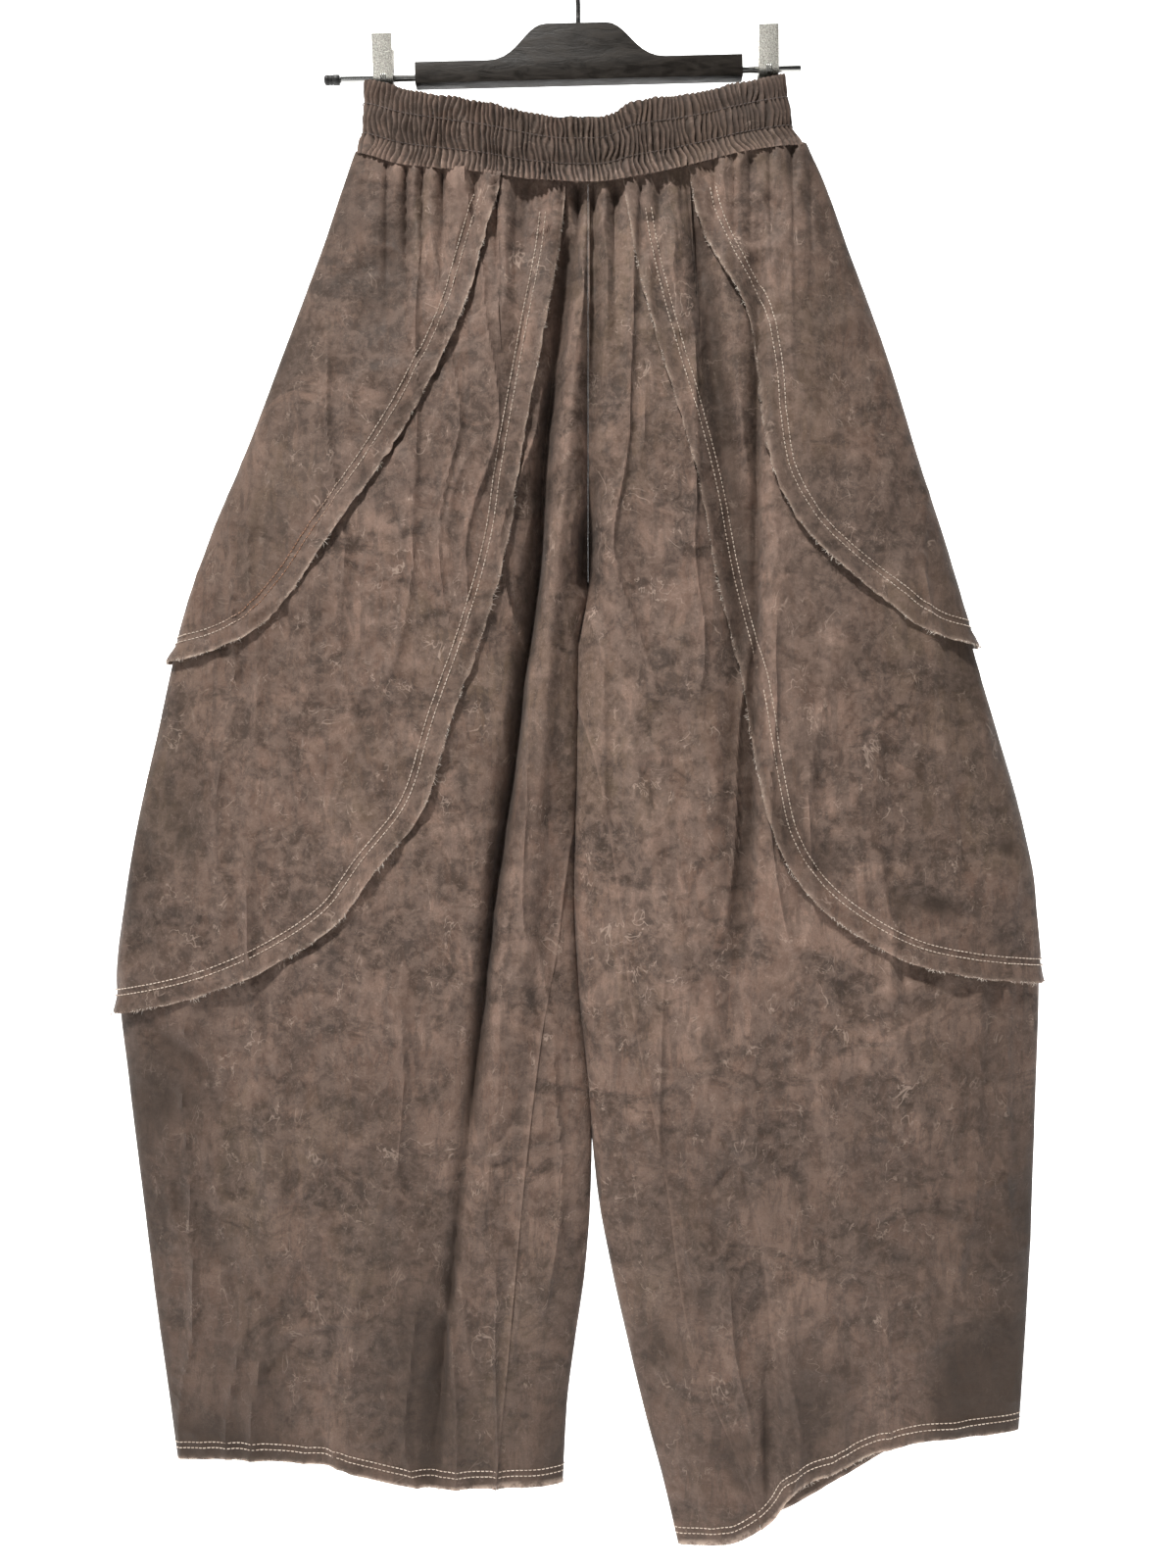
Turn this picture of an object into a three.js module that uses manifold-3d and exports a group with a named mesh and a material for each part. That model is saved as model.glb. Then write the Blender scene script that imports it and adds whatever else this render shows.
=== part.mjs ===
// Balloon trousers hanging from a clip hanger, in millimetres, +Z up.
// The origin is the top of the hook's inner side, where a rail carries it. The front faces -Y and
// left and right are the viewer's. "Drop" is a height measured down from the origin.
// Every panel is cut from one ring surface. A ring's angle runs from the side seam at 0 over the
// front to the inner edge at PI, and on over the back to the side seam again.

import * as THREE from 'three';
import { mergeVertices } from 'three/addons/utils/BufferGeometryUtils.js';
import Module from 'manifold-3d';

const wasm = await Module();
wasm.setup();

// Cloth
const WALL = 1.5;
const SEAM_GAP = 0.3;
const LAYER_STEP = WALL + SEAM_GAP;
const UNDERLAP = 15;
const CROTCH_DROP = 476;
const CENTRE_X = 7;
const LEG_GAP = 3;
const WAIST_GAP = 0.5;

// Half depth of the hanging cloth, in front of and behind the hanger's plane
const DEPTH = [
  { drop: 115, front: 12, back: 11 },
  { drop: 190, front: 15, back: 14 },
  { drop: 300, front: 27, back: 20 },
  { drop: 476, front: 34, back: 24 },
  { drop: 700, front: 36, back: 26 },
  { drop: 900, front: 29, back: 23 },
  { drop: 1170, front: 12, back: 11 },
];

// The silhouette of each half
const OUTER_LEFT = [
  { drop: 160, x: -154 },
  { drop: 192, x: -165 },
  { drop: 235, x: -179 },
  { drop: 316, x: -209 },
  { drop: 382, x: -234 },
  { drop: 441, x: -259 },
  { drop: 515, x: -283 },
  { drop: 578, x: -298 },
  { drop: 650, x: -314 },
  { drop: 699, x: -322 },
  { drop: 755, x: -328 },
  { drop: 826, x: -321 },
  { drop: 966, x: -303 },
  { drop: 1079, x: -288 },
  { drop: 1170, x: -276 },
];
const OUTER_RIGHT = [
  { drop: 160, x: 160 },
  { drop: 192, x: 174 },
  { drop: 235, x: 189 },
  { drop: 316, x: 218 },
  { drop: 382, x: 238 },
  { drop: 441, x: 257 },
  { drop: 515, x: 278 },
  { drop: 578, x: 296 },
  { drop: 650, x: 316 },
  { drop: 699, x: 325 },
  { drop: 755, x: 329 },
  { drop: 826, x: 327 },
  { drop: 966, x: 321 },
  { drop: 1079, x: 314 },
  { drop: 1170, x: 306 },
];
const INNER_LEFT = [
  { drop: 100, x: CENTRE_X },
  { drop: 476, x: CENTRE_X },
  { drop: 520, x: 0 },
  { drop: 607, x: -1 },
  { drop: 686, x: -3 },
  { drop: 769, x: 1 },
  { drop: 806, x: 5 },
  { drop: 861, x: 9 },
  { drop: 909, x: 8 },
  { drop: 963, x: 4 },
  { drop: 1012, x: -3 },
  { drop: 1061, x: -9 },
  { drop: 1170, x: -14 },
];
const INNER_RIGHT = [
  { drop: 100, x: CENTRE_X },
  { drop: 476, x: CENTRE_X },
  { drop: 520, x: 0 },
  { drop: 607, x: -1 },
  { drop: 686, x: -3 },
  { drop: 769, x: 1 },
  { drop: 806, x: 5 },
  { drop: 861, x: 10 },
  { drop: 909, x: 15 },
  { drop: 958, x: 24 },
  { drop: 1012, x: 36 },
  { drop: 1066, x: 49 },
  { drop: 1110, x: 61 },
  { drop: 1170, x: 75 },
];

// Where the inseam shows on the front of each leg
const INSEAM_LEFT = [
  { drop: 640, x: -2 },
  { drop: 685, x: -9 },
  { drop: 728, x: -14 },
  { drop: 791, x: -25 },
  { drop: 890, x: -37 },
  { drop: 1020, x: -49 },
  { drop: 1091, x: -56 },
  { drop: 1170, x: -62 },
];
const INSEAM_RIGHT = [
  { drop: 560, x: -1 },
  { drop: 601, x: 12 },
  { drop: 671, x: 25 },
  { drop: 763, x: 36 },
  { drop: 893, x: 61 },
  { drop: 996, x: 76 },
  { drop: 1138, x: 128 },
  { drop: 1170, x: 134 },
];

// The waist seam, its front sagging between the clips, and the hems
const WAIST_SEAM_FRONT = [
  { x: -170, drop: 162 },
  { x: -153, drop: 167 },
  { x: -124, drop: 177 },
  { x: -73, drop: 183 },
  { x: -31, drop: 189 },
  { x: 10, drop: 191 },
  { x: 40, drop: 187 },
  { x: 80, drop: 178 },
  { x: 117, drop: 168 },
  { x: 154, drop: 161 },
  { x: 180, drop: 157 },
];
const WAIST_SEAM_BACK = [
  { x: -170, drop: 162 },
  { x: -153, drop: 167 },
  { x: -73, drop: 174 },
  { x: 10, drop: 178 },
  { x: 80, drop: 171 },
  { x: 154, drop: 161 },
  { x: 180, drop: 157 },
];
const HEM_FRONT_LEFT = [
  { x: -300, drop: 1097 },
  { x: -240, drop: 1093 },
  { x: -179, drop: 1096 },
  { x: -150, drop: 1105 },
  { x: -107, drop: 1113 },
  { x: -60, drop: 1114 },
  { x: -8, drop: 1113 },
];
const HEM_FRONT_RIGHT = [
  { x: 66, drop: 1158 },
  { x: 110, drop: 1153 },
  { x: 136, drop: 1138 },
  { x: 148, drop: 1118 },
  { x: 179, drop: 1101 },
  { x: 221, drop: 1084 },
  { x: 255, drop: 1078 },
  { x: 320, drop: 1075 },
];
const HEM_BACK_LEFT = [
  { x: -300, drop: 1097 },
  { x: -240, drop: 1098 },
  { x: -150, drop: 1112 },
  { x: -90, drop: 1122 },
  { x: -8, drop: 1113 },
];
const HEM_BACK_RIGHT = [
  { x: 66, drop: 1158 },
  { x: 110, drop: 1152 },
  { x: 150, drop: 1138 },
  { x: 190, drop: 1116 },
  { x: 240, drop: 1090 },
  { x: 320, drop: 1075 },
];

// The raw edges of the two lapped seams, from the waist round to the side seam
const HIP_EDGE_LEFT = [
  { x: -55, drop: 198 },
  { x: -66, drop: 237 },
  { x: -81, drop: 289 },
  { x: -106, drop: 340 },
  { x: -140, drop: 398 },
  { x: -173, drop: 445 },
  { x: -197, drop: 481 },
  { x: -224, drop: 510 },
  { x: -256, drop: 524 },
  { x: -289, drop: 531 },
];
const THIGH_EDGE_LEFT = [
  { x: -9, drop: 203 },
  { x: -13, drop: 240 },
  { x: -22, drop: 290 },
  { x: -41, drop: 397 },
  { x: -48, drop: 445 },
  { x: -65, drop: 508 },
  { x: -87, drop: 570 },
  { x: -108, drop: 635 },
  { x: -139, drop: 676 },
  { x: -166, drop: 712 },
  { x: -214, drop: 744 },
  { x: -266, drop: 765 },
  { x: -327, drop: 779 },
];
const HIP_EDGE_RIGHT = [
  { x: 79, drop: 191 },
  { x: 84, drop: 214 },
  { x: 96, drop: 244 },
  { x: 116, drop: 282 },
  { x: 125, drop: 325 },
  { x: 128, drop: 363 },
  { x: 134, drop: 399 },
  { x: 144, drop: 421 },
  { x: 162, drop: 446 },
  { x: 208, drop: 485 },
  { x: 244, drop: 510 },
  { x: 285, drop: 520 },
];
const THIGH_EDGE_RIGHT = [
  { x: 33, drop: 202 },
  { x: 40, drop: 244 },
  { x: 51, drop: 291 },
  { x: 83, drop: 402 },
  { x: 97, drop: 474 },
  { x: 115, drop: 548 },
  { x: 124, drop: 605 },
  { x: 136, drop: 656 },
  { x: 158, drop: 692 },
  { x: 193, drop: 721 },
  { x: 232, drop: 741 },
  { x: 271, drop: 750 },
  { x: 329, drop: 757 },
];

// Folds: the crest's x at each drop, its rise towards the viewer and how wide it is on either side
const FOLDS_FRONT = {
  leftDeepValley: [
    { drop: 195, x: -3, rise: -4, left: 6, right: 6 },
    { drop: 261, x: -7, rise: -10, left: 8, right: 8 },
    { drop: 375, x: -21, rise: -12, left: 10, right: 9 },
    { drop: 444, x: -27, rise: -11, left: 10, right: 9 },
    { drop: 553, x: -41, rise: -8, left: 8, right: 8 },
    { drop: 758, x: -65, rise: -6, left: 8, right: 8 },
    { drop: 880, x: -80, rise: -2, left: 8, right: 8 },
  ],
  leftInnerStrip: [
    { drop: 200, x: 9, rise: 2, left: 7, right: 6 },
    { drop: 310, x: -1, rise: 5, left: 8, right: 7 },
    { drop: 445, x: -14, rise: 6, left: 8, right: 7 },
    { drop: 685, x: -33, rise: 6, left: 12, right: 8 },
    { drop: 860, x: -50, rise: 2, left: 12, right: 8 },
  ],
  leftHipRidge: [
    { drop: 195, x: -52, rise: 3, left: 12, right: 10 },
    { drop: 290, x: -56, rise: 5, left: 14, right: 10 },
    { drop: 400, x: -68, rise: 1, left: 16, right: 12 },
  ],
  leftHipPocket: [
    { drop: 188, x: -38, rise: -4, left: 7, right: 7 },
    { drop: 215, x: -38, rise: -6, left: 7, right: 7 },
    { drop: 260, x: -37, rise: -1, left: 8, right: 8 },
  ],
  leftSideTrough: [
    { drop: 184, x: -113, rise: -3, left: 15, right: 15 },
    { drop: 230, x: -124, rise: -6, left: 18, right: 18 },
    { drop: 320, x: -145, rise: -1, left: 24, right: 24 },
  ],
  leftDart: [
    { drop: 870, x: -79, rise: -1, left: 6, right: 6 },
    { drop: 933, x: -87, rise: -4, left: 7, right: 7 },
    { drop: 1110, x: -107, rise: -3, left: 8, right: 8 },
  ],
  centreGroove: [
    { drop: 190, x: 10, rise: -4, left: 6, right: 7 },
    { drop: 300, x: 11, rise: -8, left: 7, right: 8 },
    { drop: 470, x: 8, rise: -8, left: 7, right: 7 },
  ],
  rightCentreRidge: [
    { drop: 360, x: 19, rise: 1, left: 7, right: 14 },
    { drop: 444, x: 21, rise: 5, left: 8, right: 18 },
    { drop: 544, x: 32, rise: 6, left: 9, right: 20 },
    { drop: 640, x: 44, rise: 2, left: 10, right: 20 },
  ],
  rightDeepValley: [
    { drop: 180, x: 78, rise: -3, left: 7, right: 7 },
    { drop: 225, x: 84, rise: -10, left: 9, right: 9 },
    { drop: 317, x: 95, rise: -12, left: 11, right: 10 },
    { drop: 405, x: 105, rise: -12, left: 11, right: 10 },
    { drop: 510, x: 113, rise: -8, left: 11, right: 9 },
    { drop: 700, x: 110, rise: -7, left: 12, right: 9 },
    { drop: 810, x: 103, rise: -2, left: 12, right: 8 },
  ],
  rightLappedFold: [
    { drop: 190, x: 138, rise: 3, left: 9, right: 24 },
    { drop: 307, x: 136, rise: 6, left: 10, right: 30 },
    { drop: 510, x: 135, rise: 7, left: 10, right: 36 },
    { drop: 640, x: 135, rise: 7, left: 10, right: 36 },
    { drop: 795, x: 123, rise: 3, left: 10, right: 30 },
  ],
  rightInnerRidge: [
    { drop: 594, x: 38, rise: 2, left: 12, right: 8 },
    { drop: 671, x: 55, rise: 5, left: 16, right: 8 },
    { drop: 820, x: 92, rise: 5, left: 16, right: 8 },
    { drop: 885, x: 107, rise: 1, left: 14, right: 8 },
  ],
  rightDart: [
    { drop: 885, x: 120, rise: 1, left: 7, right: 12 },
    { drop: 1016, x: 143, rise: 5, left: 7, right: 16 },
    { drop: 1120, x: 146, rise: 5, left: 7, right: 16 },
  ],
};
const FOLDS_BACK = {
  leftValley: [
    { drop: 185, x: -42, rise: -3, left: 9, right: 9 },
    { drop: 300, x: -50, rise: -7, left: 11, right: 11 },
    { drop: 620, x: -78, rise: -6, left: 13, right: 12 },
    { drop: 860, x: -112, rise: -1, left: 14, right: 12 },
  ],
  leftRidge: [
    { drop: 185, x: -96, rise: 2, left: 14, right: 11 },
    { drop: 340, x: -128, rise: 5, left: 22, right: 14 },
    { drop: 560, x: -170, rise: 1, left: 26, right: 18 },
  ],
  centreGroove: [
    { drop: 185, x: 6, rise: -3, left: 8, right: 8 },
    { drop: 330, x: 5, rise: -6, left: 9, right: 9 },
    { drop: 465, x: 7, rise: -4, left: 8, right: 8 },
  ],
  rightValley: [
    { drop: 185, x: 58, rise: -3, left: 9, right: 9 },
    { drop: 280, x: 64, rise: -7, left: 11, right: 10 },
    { drop: 540, x: 96, rise: -6, left: 13, right: 11 },
    { drop: 800, x: 128, rise: -1, left: 14, right: 12 },
  ],
  rightRidge: [
    { drop: 420, x: 150, rise: 1, left: 16, right: 22 },
    { drop: 640, x: 172, rise: 5, left: 18, right: 28 },
    { drop: 900, x: 196, rise: 1, left: 20, right: 28 },
  ],
};
const FOLD_ROOM = 18;
const WAIST_DROP = 180;
const YOKE_DROP = 203;
const RISE_CURVE = 2.2;
const RING_POWER = 0.7;
// The inseam's wander is held to its own side: the greatest power, and the turn left beside it
const INSEAM_HOLD = { power: 8, turn: 0.8 * Math.PI };
const NO_WANDER = 0.01;
const ANGLE_STEP = 0.004;
const BISECTIONS = 40;
const PLACE_STEPS = 8;

// The grid that the panels share: columns from the inner edge outwards, rows from the waist down
const COLUMNS = { front: { leg: 4, thigh: 5, hip: 15 }, back: { leg: 3, thigh: 3, hip: 10 } };
const ROWS = { hip: 5, thigh: 5, strip: 2, aboveCrotch: 5, belowCrotch: 11 };
const HEM_SPREAD = 1.9;
const WAIST_SPREAD = 0.6;
// How far down an inner column the hip seam's row is, and the row just over the crotch's
const HIP_ROW_SHARE = 0.4;
const CROTCH_ROW_STEP = 0.016;
// A panel's hidden edge: the seam's shares over which the underlap grows and ends, how far up to the
// waist it starts, and how near to the waist it comes
const UNDER_EDGE = { grows: 0.12, ends: 0.25, start: 0.5, waistRoom: 3 };

// Small gathers of the panels just below the waist seam
const PUCKER = { pitch: 17, rise: 2, fade: 42 };
// What makes the gathers uneven: waves along x that shift them
const PUCKER_SHIFTS = [
  { shift: 0.8, length: 23 },
  { shift: 0.5, length: 9 },
];

// The waistband
const BAND = { gathers: 160, rise: 0.8, unevenness: 0.3, squareness: 0.25, room: 2 };
const BAND_PACES = [0.83, 0.31];
// The band's sections: how far down it each is, its two ends and how full its gathers are
const BAND_SECTIONS = [
  { down: 0, left: -152, right: 147, fullness: 1 },
  { down: 0.7, left: -154, right: 153, fullness: 0.7 },
  { down: 1, left: -155, right: 157, fullness: 1.4 },
];
const BAND_TOP_FRONT = [
  { x: -152, drop: 115 },
  { x: -120, drop: 125 },
  { x: -62, drop: 136 },
  { x: -7, drop: 147 },
  { x: 17, drop: 146 },
  { x: 40, drop: 134 },
  { x: 76, drop: 129 },
  { x: 111, drop: 121 },
  { x: 157, drop: 109 },
];
const BAND_TOP_BACK = [
  { x: -152, drop: 115 },
  { x: -62, drop: 131 },
  { x: -7, drop: 135 },
  { x: 22, drop: 135 },
  { x: 76, drop: 126 },
  { x: 157, drop: 109 },
];

// The hanger, level, round the rod's middle, before it is tilted
const HANGER = { x: 1, drop: 109, tilt: THREE.MathUtils.degToRad(1.4) };
const BAR = { left: -117, right: 116, top: 9, bottom: -6, depth: 12 };
const HUMP = { middle: -2, foot: 63, footEase: 22, crown: 21, crownEase: 16, top: 34, steps: 10 };
const ROD = { left: -171, right: 158, radius: 2.25, gap: 0.3, sides: 16 };
const CAP = { length: 11, radius: 3.6 };
const CLIP = { centres: [-140, 135], width: 14, plate: 1.2, barrel: 3.85, sides: 20 };
// Each clip's plates as lines from one depth and height to another, beside the rod
const CLIP_PLATES = {
  frontLever: { fromY: -3.2, fromZ: 0, toY: -7.6, toZ: 29 },
  backLever: { fromY: 3.2, fromZ: 0, toY: 7.6, toZ: 24 },
  frontJaw: { fromY: 3.1, fromZ: -1.5, toY: 3.1, toZ: -19 },
  backArm: { fromY: 3.4, fromZ: 0.5, toY: 11.2, toZ: -1.5 },
  backJaw: { fromY: 11, fromZ: -1, toY: 11, toZ: -19 },
};
const HOOK = { wire: 1.75, bend: 19, foot: -74.6, sides: 8, steps: 36 };
const HOOK_TURN = { first: 0, last: 210, step: 30 };
const HOOK_STEM = [
  { x: 0, z: -62 },
  { x: 0, z: -50 },
  { x: 4, z: -41 },
  { x: 13, z: -31.5 },
];

const CLOTH_COLOUR = 0x6f5d55;
const BAND_COLOUR = 0x66544c;
const BAR_COLOUR = 0x2b2521;
const STEEL_COLOUR = 0xc9c9c6;
const CAP_COLOUR = 0x1b1b1b;

// Reads a column of a table at a place between its rows, along a curve that never overshoots them.
function column(table, key, value) {
  const at = table.map((row) => row[key]);
  const is = table.map((row) => row[value]);
  const last = at.length - 1;
  const slope = (i) => (is[i + 1] - is[i]) / (at[i + 1] - at[i]);
  const tangent = (i) => {
    if (i === 0) return slope(0);
    if (i === last) return slope(last - 1);
    const before = slope(i - 1);
    const after = slope(i);
    return before * after <= 0 ? 0 : (2 * before * after) / (before + after);
  };
  const tangents = at.map((_, i) => tangent(i));
  return (place) => {
    const p = Math.min(Math.max(place, at[0]), at[last]);
    let i = 0;
    while (i < last - 1 && p > at[i + 1]) i += 1;
    const span = at[i + 1] - at[i];
    const t = (p - at[i]) / span;
    const u = 1 - t;
    return (
      is[i] * (1 + 2 * t) * u * u +
      is[i + 1] * t * t * (3 - 2 * t) +
      span * t * u * (tangents[i] * u - tangents[i + 1] * t)
    );
  };
}

const depthFront = column(DEPTH, 'drop', 'front');
const depthBack = column(DEPTH, 'drop', 'back');
const waistFront = column(WAIST_SEAM_FRONT, 'x', 'drop');
const waistBack = column(WAIST_SEAM_BACK, 'x', 'drop');

function makeFold(table) {
  const x = column(table, 'drop', 'x');
  const rise = column(table, 'drop', 'rise');
  const left = column(table, 'drop', 'left');
  const right = column(table, 'drop', 'right');
  const first = table[0].drop;
  const last = table[table.length - 1].drop;
  const endFade = 30;
  return (px, drop) => {
    const past = Math.max(first - drop, drop - last, 0) / endFade;
    if (past >= 1) return 0;
    const away = px - x(drop);
    const width = away < 0 ? left(drop) : right(drop);
    return (1 - past) * rise(drop) * Math.exp(-((away / width) ** 2));
  };
}

const foldsFront = Object.values(FOLDS_FRONT).map(makeFold);
const foldsBack = Object.values(FOLDS_BACK).map(makeFold);

function reliefAt(x, drop, back) {
  const folds = back ? foldsBack : foldsFront;
  const waist = back ? waistBack(x) : waistFront(x);
  const fade = Math.exp(-Math.max(drop - waist, 0) / PUCKER.fade);
  const wander = PUCKER_SHIFTS.reduce((sum, { shift, length }) => sum + shift * Math.sin(x / length), 0);
  const pucker = PUCKER.rise * fade * Math.sin((2 * Math.PI * x) / PUCKER.pitch + wander);
  return folds.reduce((sum, fold) => sum + fold(x, drop), pucker);
}

// One half of the garment: its silhouette, inseam, hems and the edges of its lapped seams.
function makeHalf(side, tables) {
  const sign = side === 'left' ? -1 : 1;
  const outer = column(tables.outer, 'drop', 'x');
  const innerLine = column(tables.inner, 'drop', 'x');
  const inner = (drop) => innerLine(drop) + (sign * (drop > CROTCH_DROP - 1 ? LEG_GAP : SEAM_GAP)) / 2;
  const inseamX = column(tables.inseam, 'drop', 'x');
  const firstInseam = tables.inseam[0].drop;
  const shareAt = (x, drop) => (x - inner(drop)) / (outer(drop) - inner(drop));
  const angleOf = (share) => Math.acos(THREE.MathUtils.clamp(2 * share - 1, -1, 1));
  // The ring angle at which the front leg panel ends: the centre seam, then the inseam.
  const inseamAngle = (drop) => {
    if (drop <= firstInseam) return Math.PI;
    return angleOf(Math.max(shareAt(inseamX(drop), drop), 0));
  };
  return { ...tables, side, sign, outer, inner, shareAt, angleOf, inseamAngle };
}

const LEFT = makeHalf('left', {
  outer: OUTER_LEFT,
  inner: INNER_LEFT,
  inseam: INSEAM_LEFT,
  hemFront: column(HEM_FRONT_LEFT, 'x', 'drop'),
  hemBack: column(HEM_BACK_LEFT, 'x', 'drop'),
  hipEdge: HIP_EDGE_LEFT,
  thighEdge: THIGH_EDGE_LEFT,
});
const RIGHT = makeHalf('right', {
  outer: OUTER_RIGHT,
  inner: INNER_RIGHT,
  inseam: INSEAM_RIGHT,
  hemFront: column(HEM_FRONT_RIGHT, 'x', 'drop'),
  hemBack: column(HEM_BACK_RIGHT, 'x', 'drop'),
  hipEdge: HIP_EDGE_RIGHT,
  thighEdge: THIGH_EDGE_RIGHT,
});

// How far the ring stands from the hanger's plane before its folds: one lens over both legs at the
// waist, parting into a lens for each leg at the crotch.
function roomAt(share, drop, back) {
  const depth = back ? depthBack(drop) : depthFront(drop);
  const down = THREE.MathUtils.clamp((drop - WAIST_DROP) / (CROTCH_DROP - WAIST_DROP), 0, 1);
  const joined = (1 - down ** RISE_CURVE) ** RING_POWER;
  const hip = Math.max(1 - share * share, 0) ** (RING_POWER / 2);
  const leg = (2 * Math.sqrt(Math.max(share * (1 - share), 0))) ** RING_POWER;
  return depth * (joined * hip + (1 - joined) * leg);
}

function ringX(half, angle, drop) {
  const share = (1 + Math.cos(angle)) / 2;
  return half.inner(drop) + (half.outer(drop) - half.inner(drop)) * share;
}

function ringPoint(half, angle, drop, back) {
  const share = (1 + Math.cos(angle)) / 2;
  const room = roomAt(share, drop, back);
  return new THREE.Vector3(ringX(half, angle, drop), (back ? 1 : -1) * room, -drop);
}

// Folds die away where the ring closes, at the side, at the inner edge and at the crotch.
function foldedPoint(half, angle, drop, back) {
  const point = ringPoint(half, angle, drop, back);
  const room = Math.abs(point.y);
  const relief = reliefAt(point.x, drop, back) * THREE.MathUtils.clamp(room / FOLD_ROOM, 0, 1);
  point.y += (back ? 1 : -1) * relief;
  return point;
}

// A point of a panel's folded surface, with the outward direction of the ring without its folds, so
// that layers stay apart in a fold. Across runs from the centre seam or inseam at 0 to the side seam
// at 1, where the points stop half a seam's gap short.
function clothAt(half, across, drop, back) {
  const angle = angleAt(half, across, drop, back);
  const onBack = (a) => a < 0 || (a > Math.PI && a <= 2 * Math.PI);
  const aboveCrotch = drop < CROTCH_DROP - 1;
  if (across === 0 && aboveCrotch) {
    return { point: foldedPoint(half, angle, drop, back), out: new THREE.Vector3(0, back ? 1 : -1, 0) };
  }
  const point = foldedPoint(half, angle, drop, onBack(angle));
  const ahead = ringPoint(half, angle + ANGLE_STEP, drop, onBack(angle + ANGLE_STEP));
  const behind = ringPoint(half, angle - ANGLE_STEP, drop, onBack(angle - ANGLE_STEP));
  const along = ahead.sub(behind).setZ(0).normalize();
  const out = new THREE.Vector3(-along.y, along.x, 0).multiplyScalar(half.sign);
  const side = back ? 1 : -1;
  if (across === 0) point.addScaledVector(along, (side * SEAM_GAP) / 2);
  if (across === 1) point.addScaledVector(along, (-side * SEAM_GAP) / 2);
  return { point, out };
}

// The inseam's wandering onto the front moves only the points near it.
function angleAt(half, across, drop, back) {
  const wander = Math.PI - half.inseamAngle(drop);
  const hold = Math.min(INSEAM_HOLD.power, INSEAM_HOLD.turn / Math.max(wander, NO_WANDER));
  const shift = wander * (1 - across) ** hold;
  return back ? Math.PI * (1 + across) - shift : Math.PI * (1 - across) - shift;
}

function acrossOf(half, share, drop, back) {
  const wanted = back ? 2 * Math.PI - half.angleOf(share) : half.angleOf(share);
  let low = 0;
  let high = 1;
  for (let i = 0; i < BISECTIONS; i += 1) {
    const middle = (low + high) / 2;
    const isPast = angleAt(half, middle, drop, back) > wanted;
    if (isPast === back) high = middle;
    else low = middle;
  }
  return (low + high) / 2;
}

// The place on the waist seam at a share of the half's width.
function waistPlace(half, share, back) {
  const waist = back ? waistBack : waistFront;
  let drop = WAIST_DROP;
  for (let i = 0; i < PLACE_STEPS; i += 1) drop = waist(ringX(half, half.angleOf(share), drop));
  return { across: acrossOf(half, share, drop, back), drop };
}

function hemPlace(half, across, back) {
  let drop = half.hemFront(0);
  for (let i = 0; i < PLACE_STEPS; i += 1) {
    const angle = angleAt(half, across, drop, back);
    const x = ringX(half, angle, drop);
    drop = angle > Math.PI ? half.hemBack(x) : half.hemFront(x);
  }
  return { across, drop };
}

// The raw edge of a lapped seam and the hidden edge of the panel beneath it, both as places on the
// cloth at a share of the seam's length from the waist to the side seam.
function makeSeam(half, table, back) {
  const points = table.map((row) => new THREE.Vector3(row.x, row.drop, 0));
  const curve = new THREE.CatmullRomCurve3(points, false, 'centripetal');
  const place = (x, drop) => {
    const share = THREE.MathUtils.clamp(half.shareAt(x, drop), 0, 1);
    return { across: acrossOf(half, share, drop, back), drop };
  };
  const edge = (length) => {
    const p = curve.getPointAt(length);
    return length === 1 ? { across: 1, drop: p.y } : place(p.x, p.y);
  };
  const under = (length) => {
    const p = curve.getPointAt(length);
    const t = curve.getTangentAt(length);
    const waist = waistPlace(half, half.shareAt(p.x, p.y), back).drop;
    const full = Math.min(length / UNDER_EDGE.grows, 1);
    const outward = full * Math.min((1 - length) / UNDER_EDGE.ends, 1) * UNDERLAP * t.y;
    const upward = full * UNDERLAP * half.sign * t.x + (1 - full) * (p.y - waist) * UNDER_EDGE.start;
    const x = p.x + half.sign * outward;
    const drop = Math.max(p.y - upward, waist + UNDER_EDGE.waistRoom);
    return length === 1 ? { across: 1, drop } : place(x, drop);
  };
  return { edge, under, startShare: half.shareAt(table[0].x, table[0].drop) };
}

function mix(a, b, t) {
  return { across: a.across + (b.across - a.across) * t, drop: a.drop + (b.drop - a.drop) * t };
}

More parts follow.
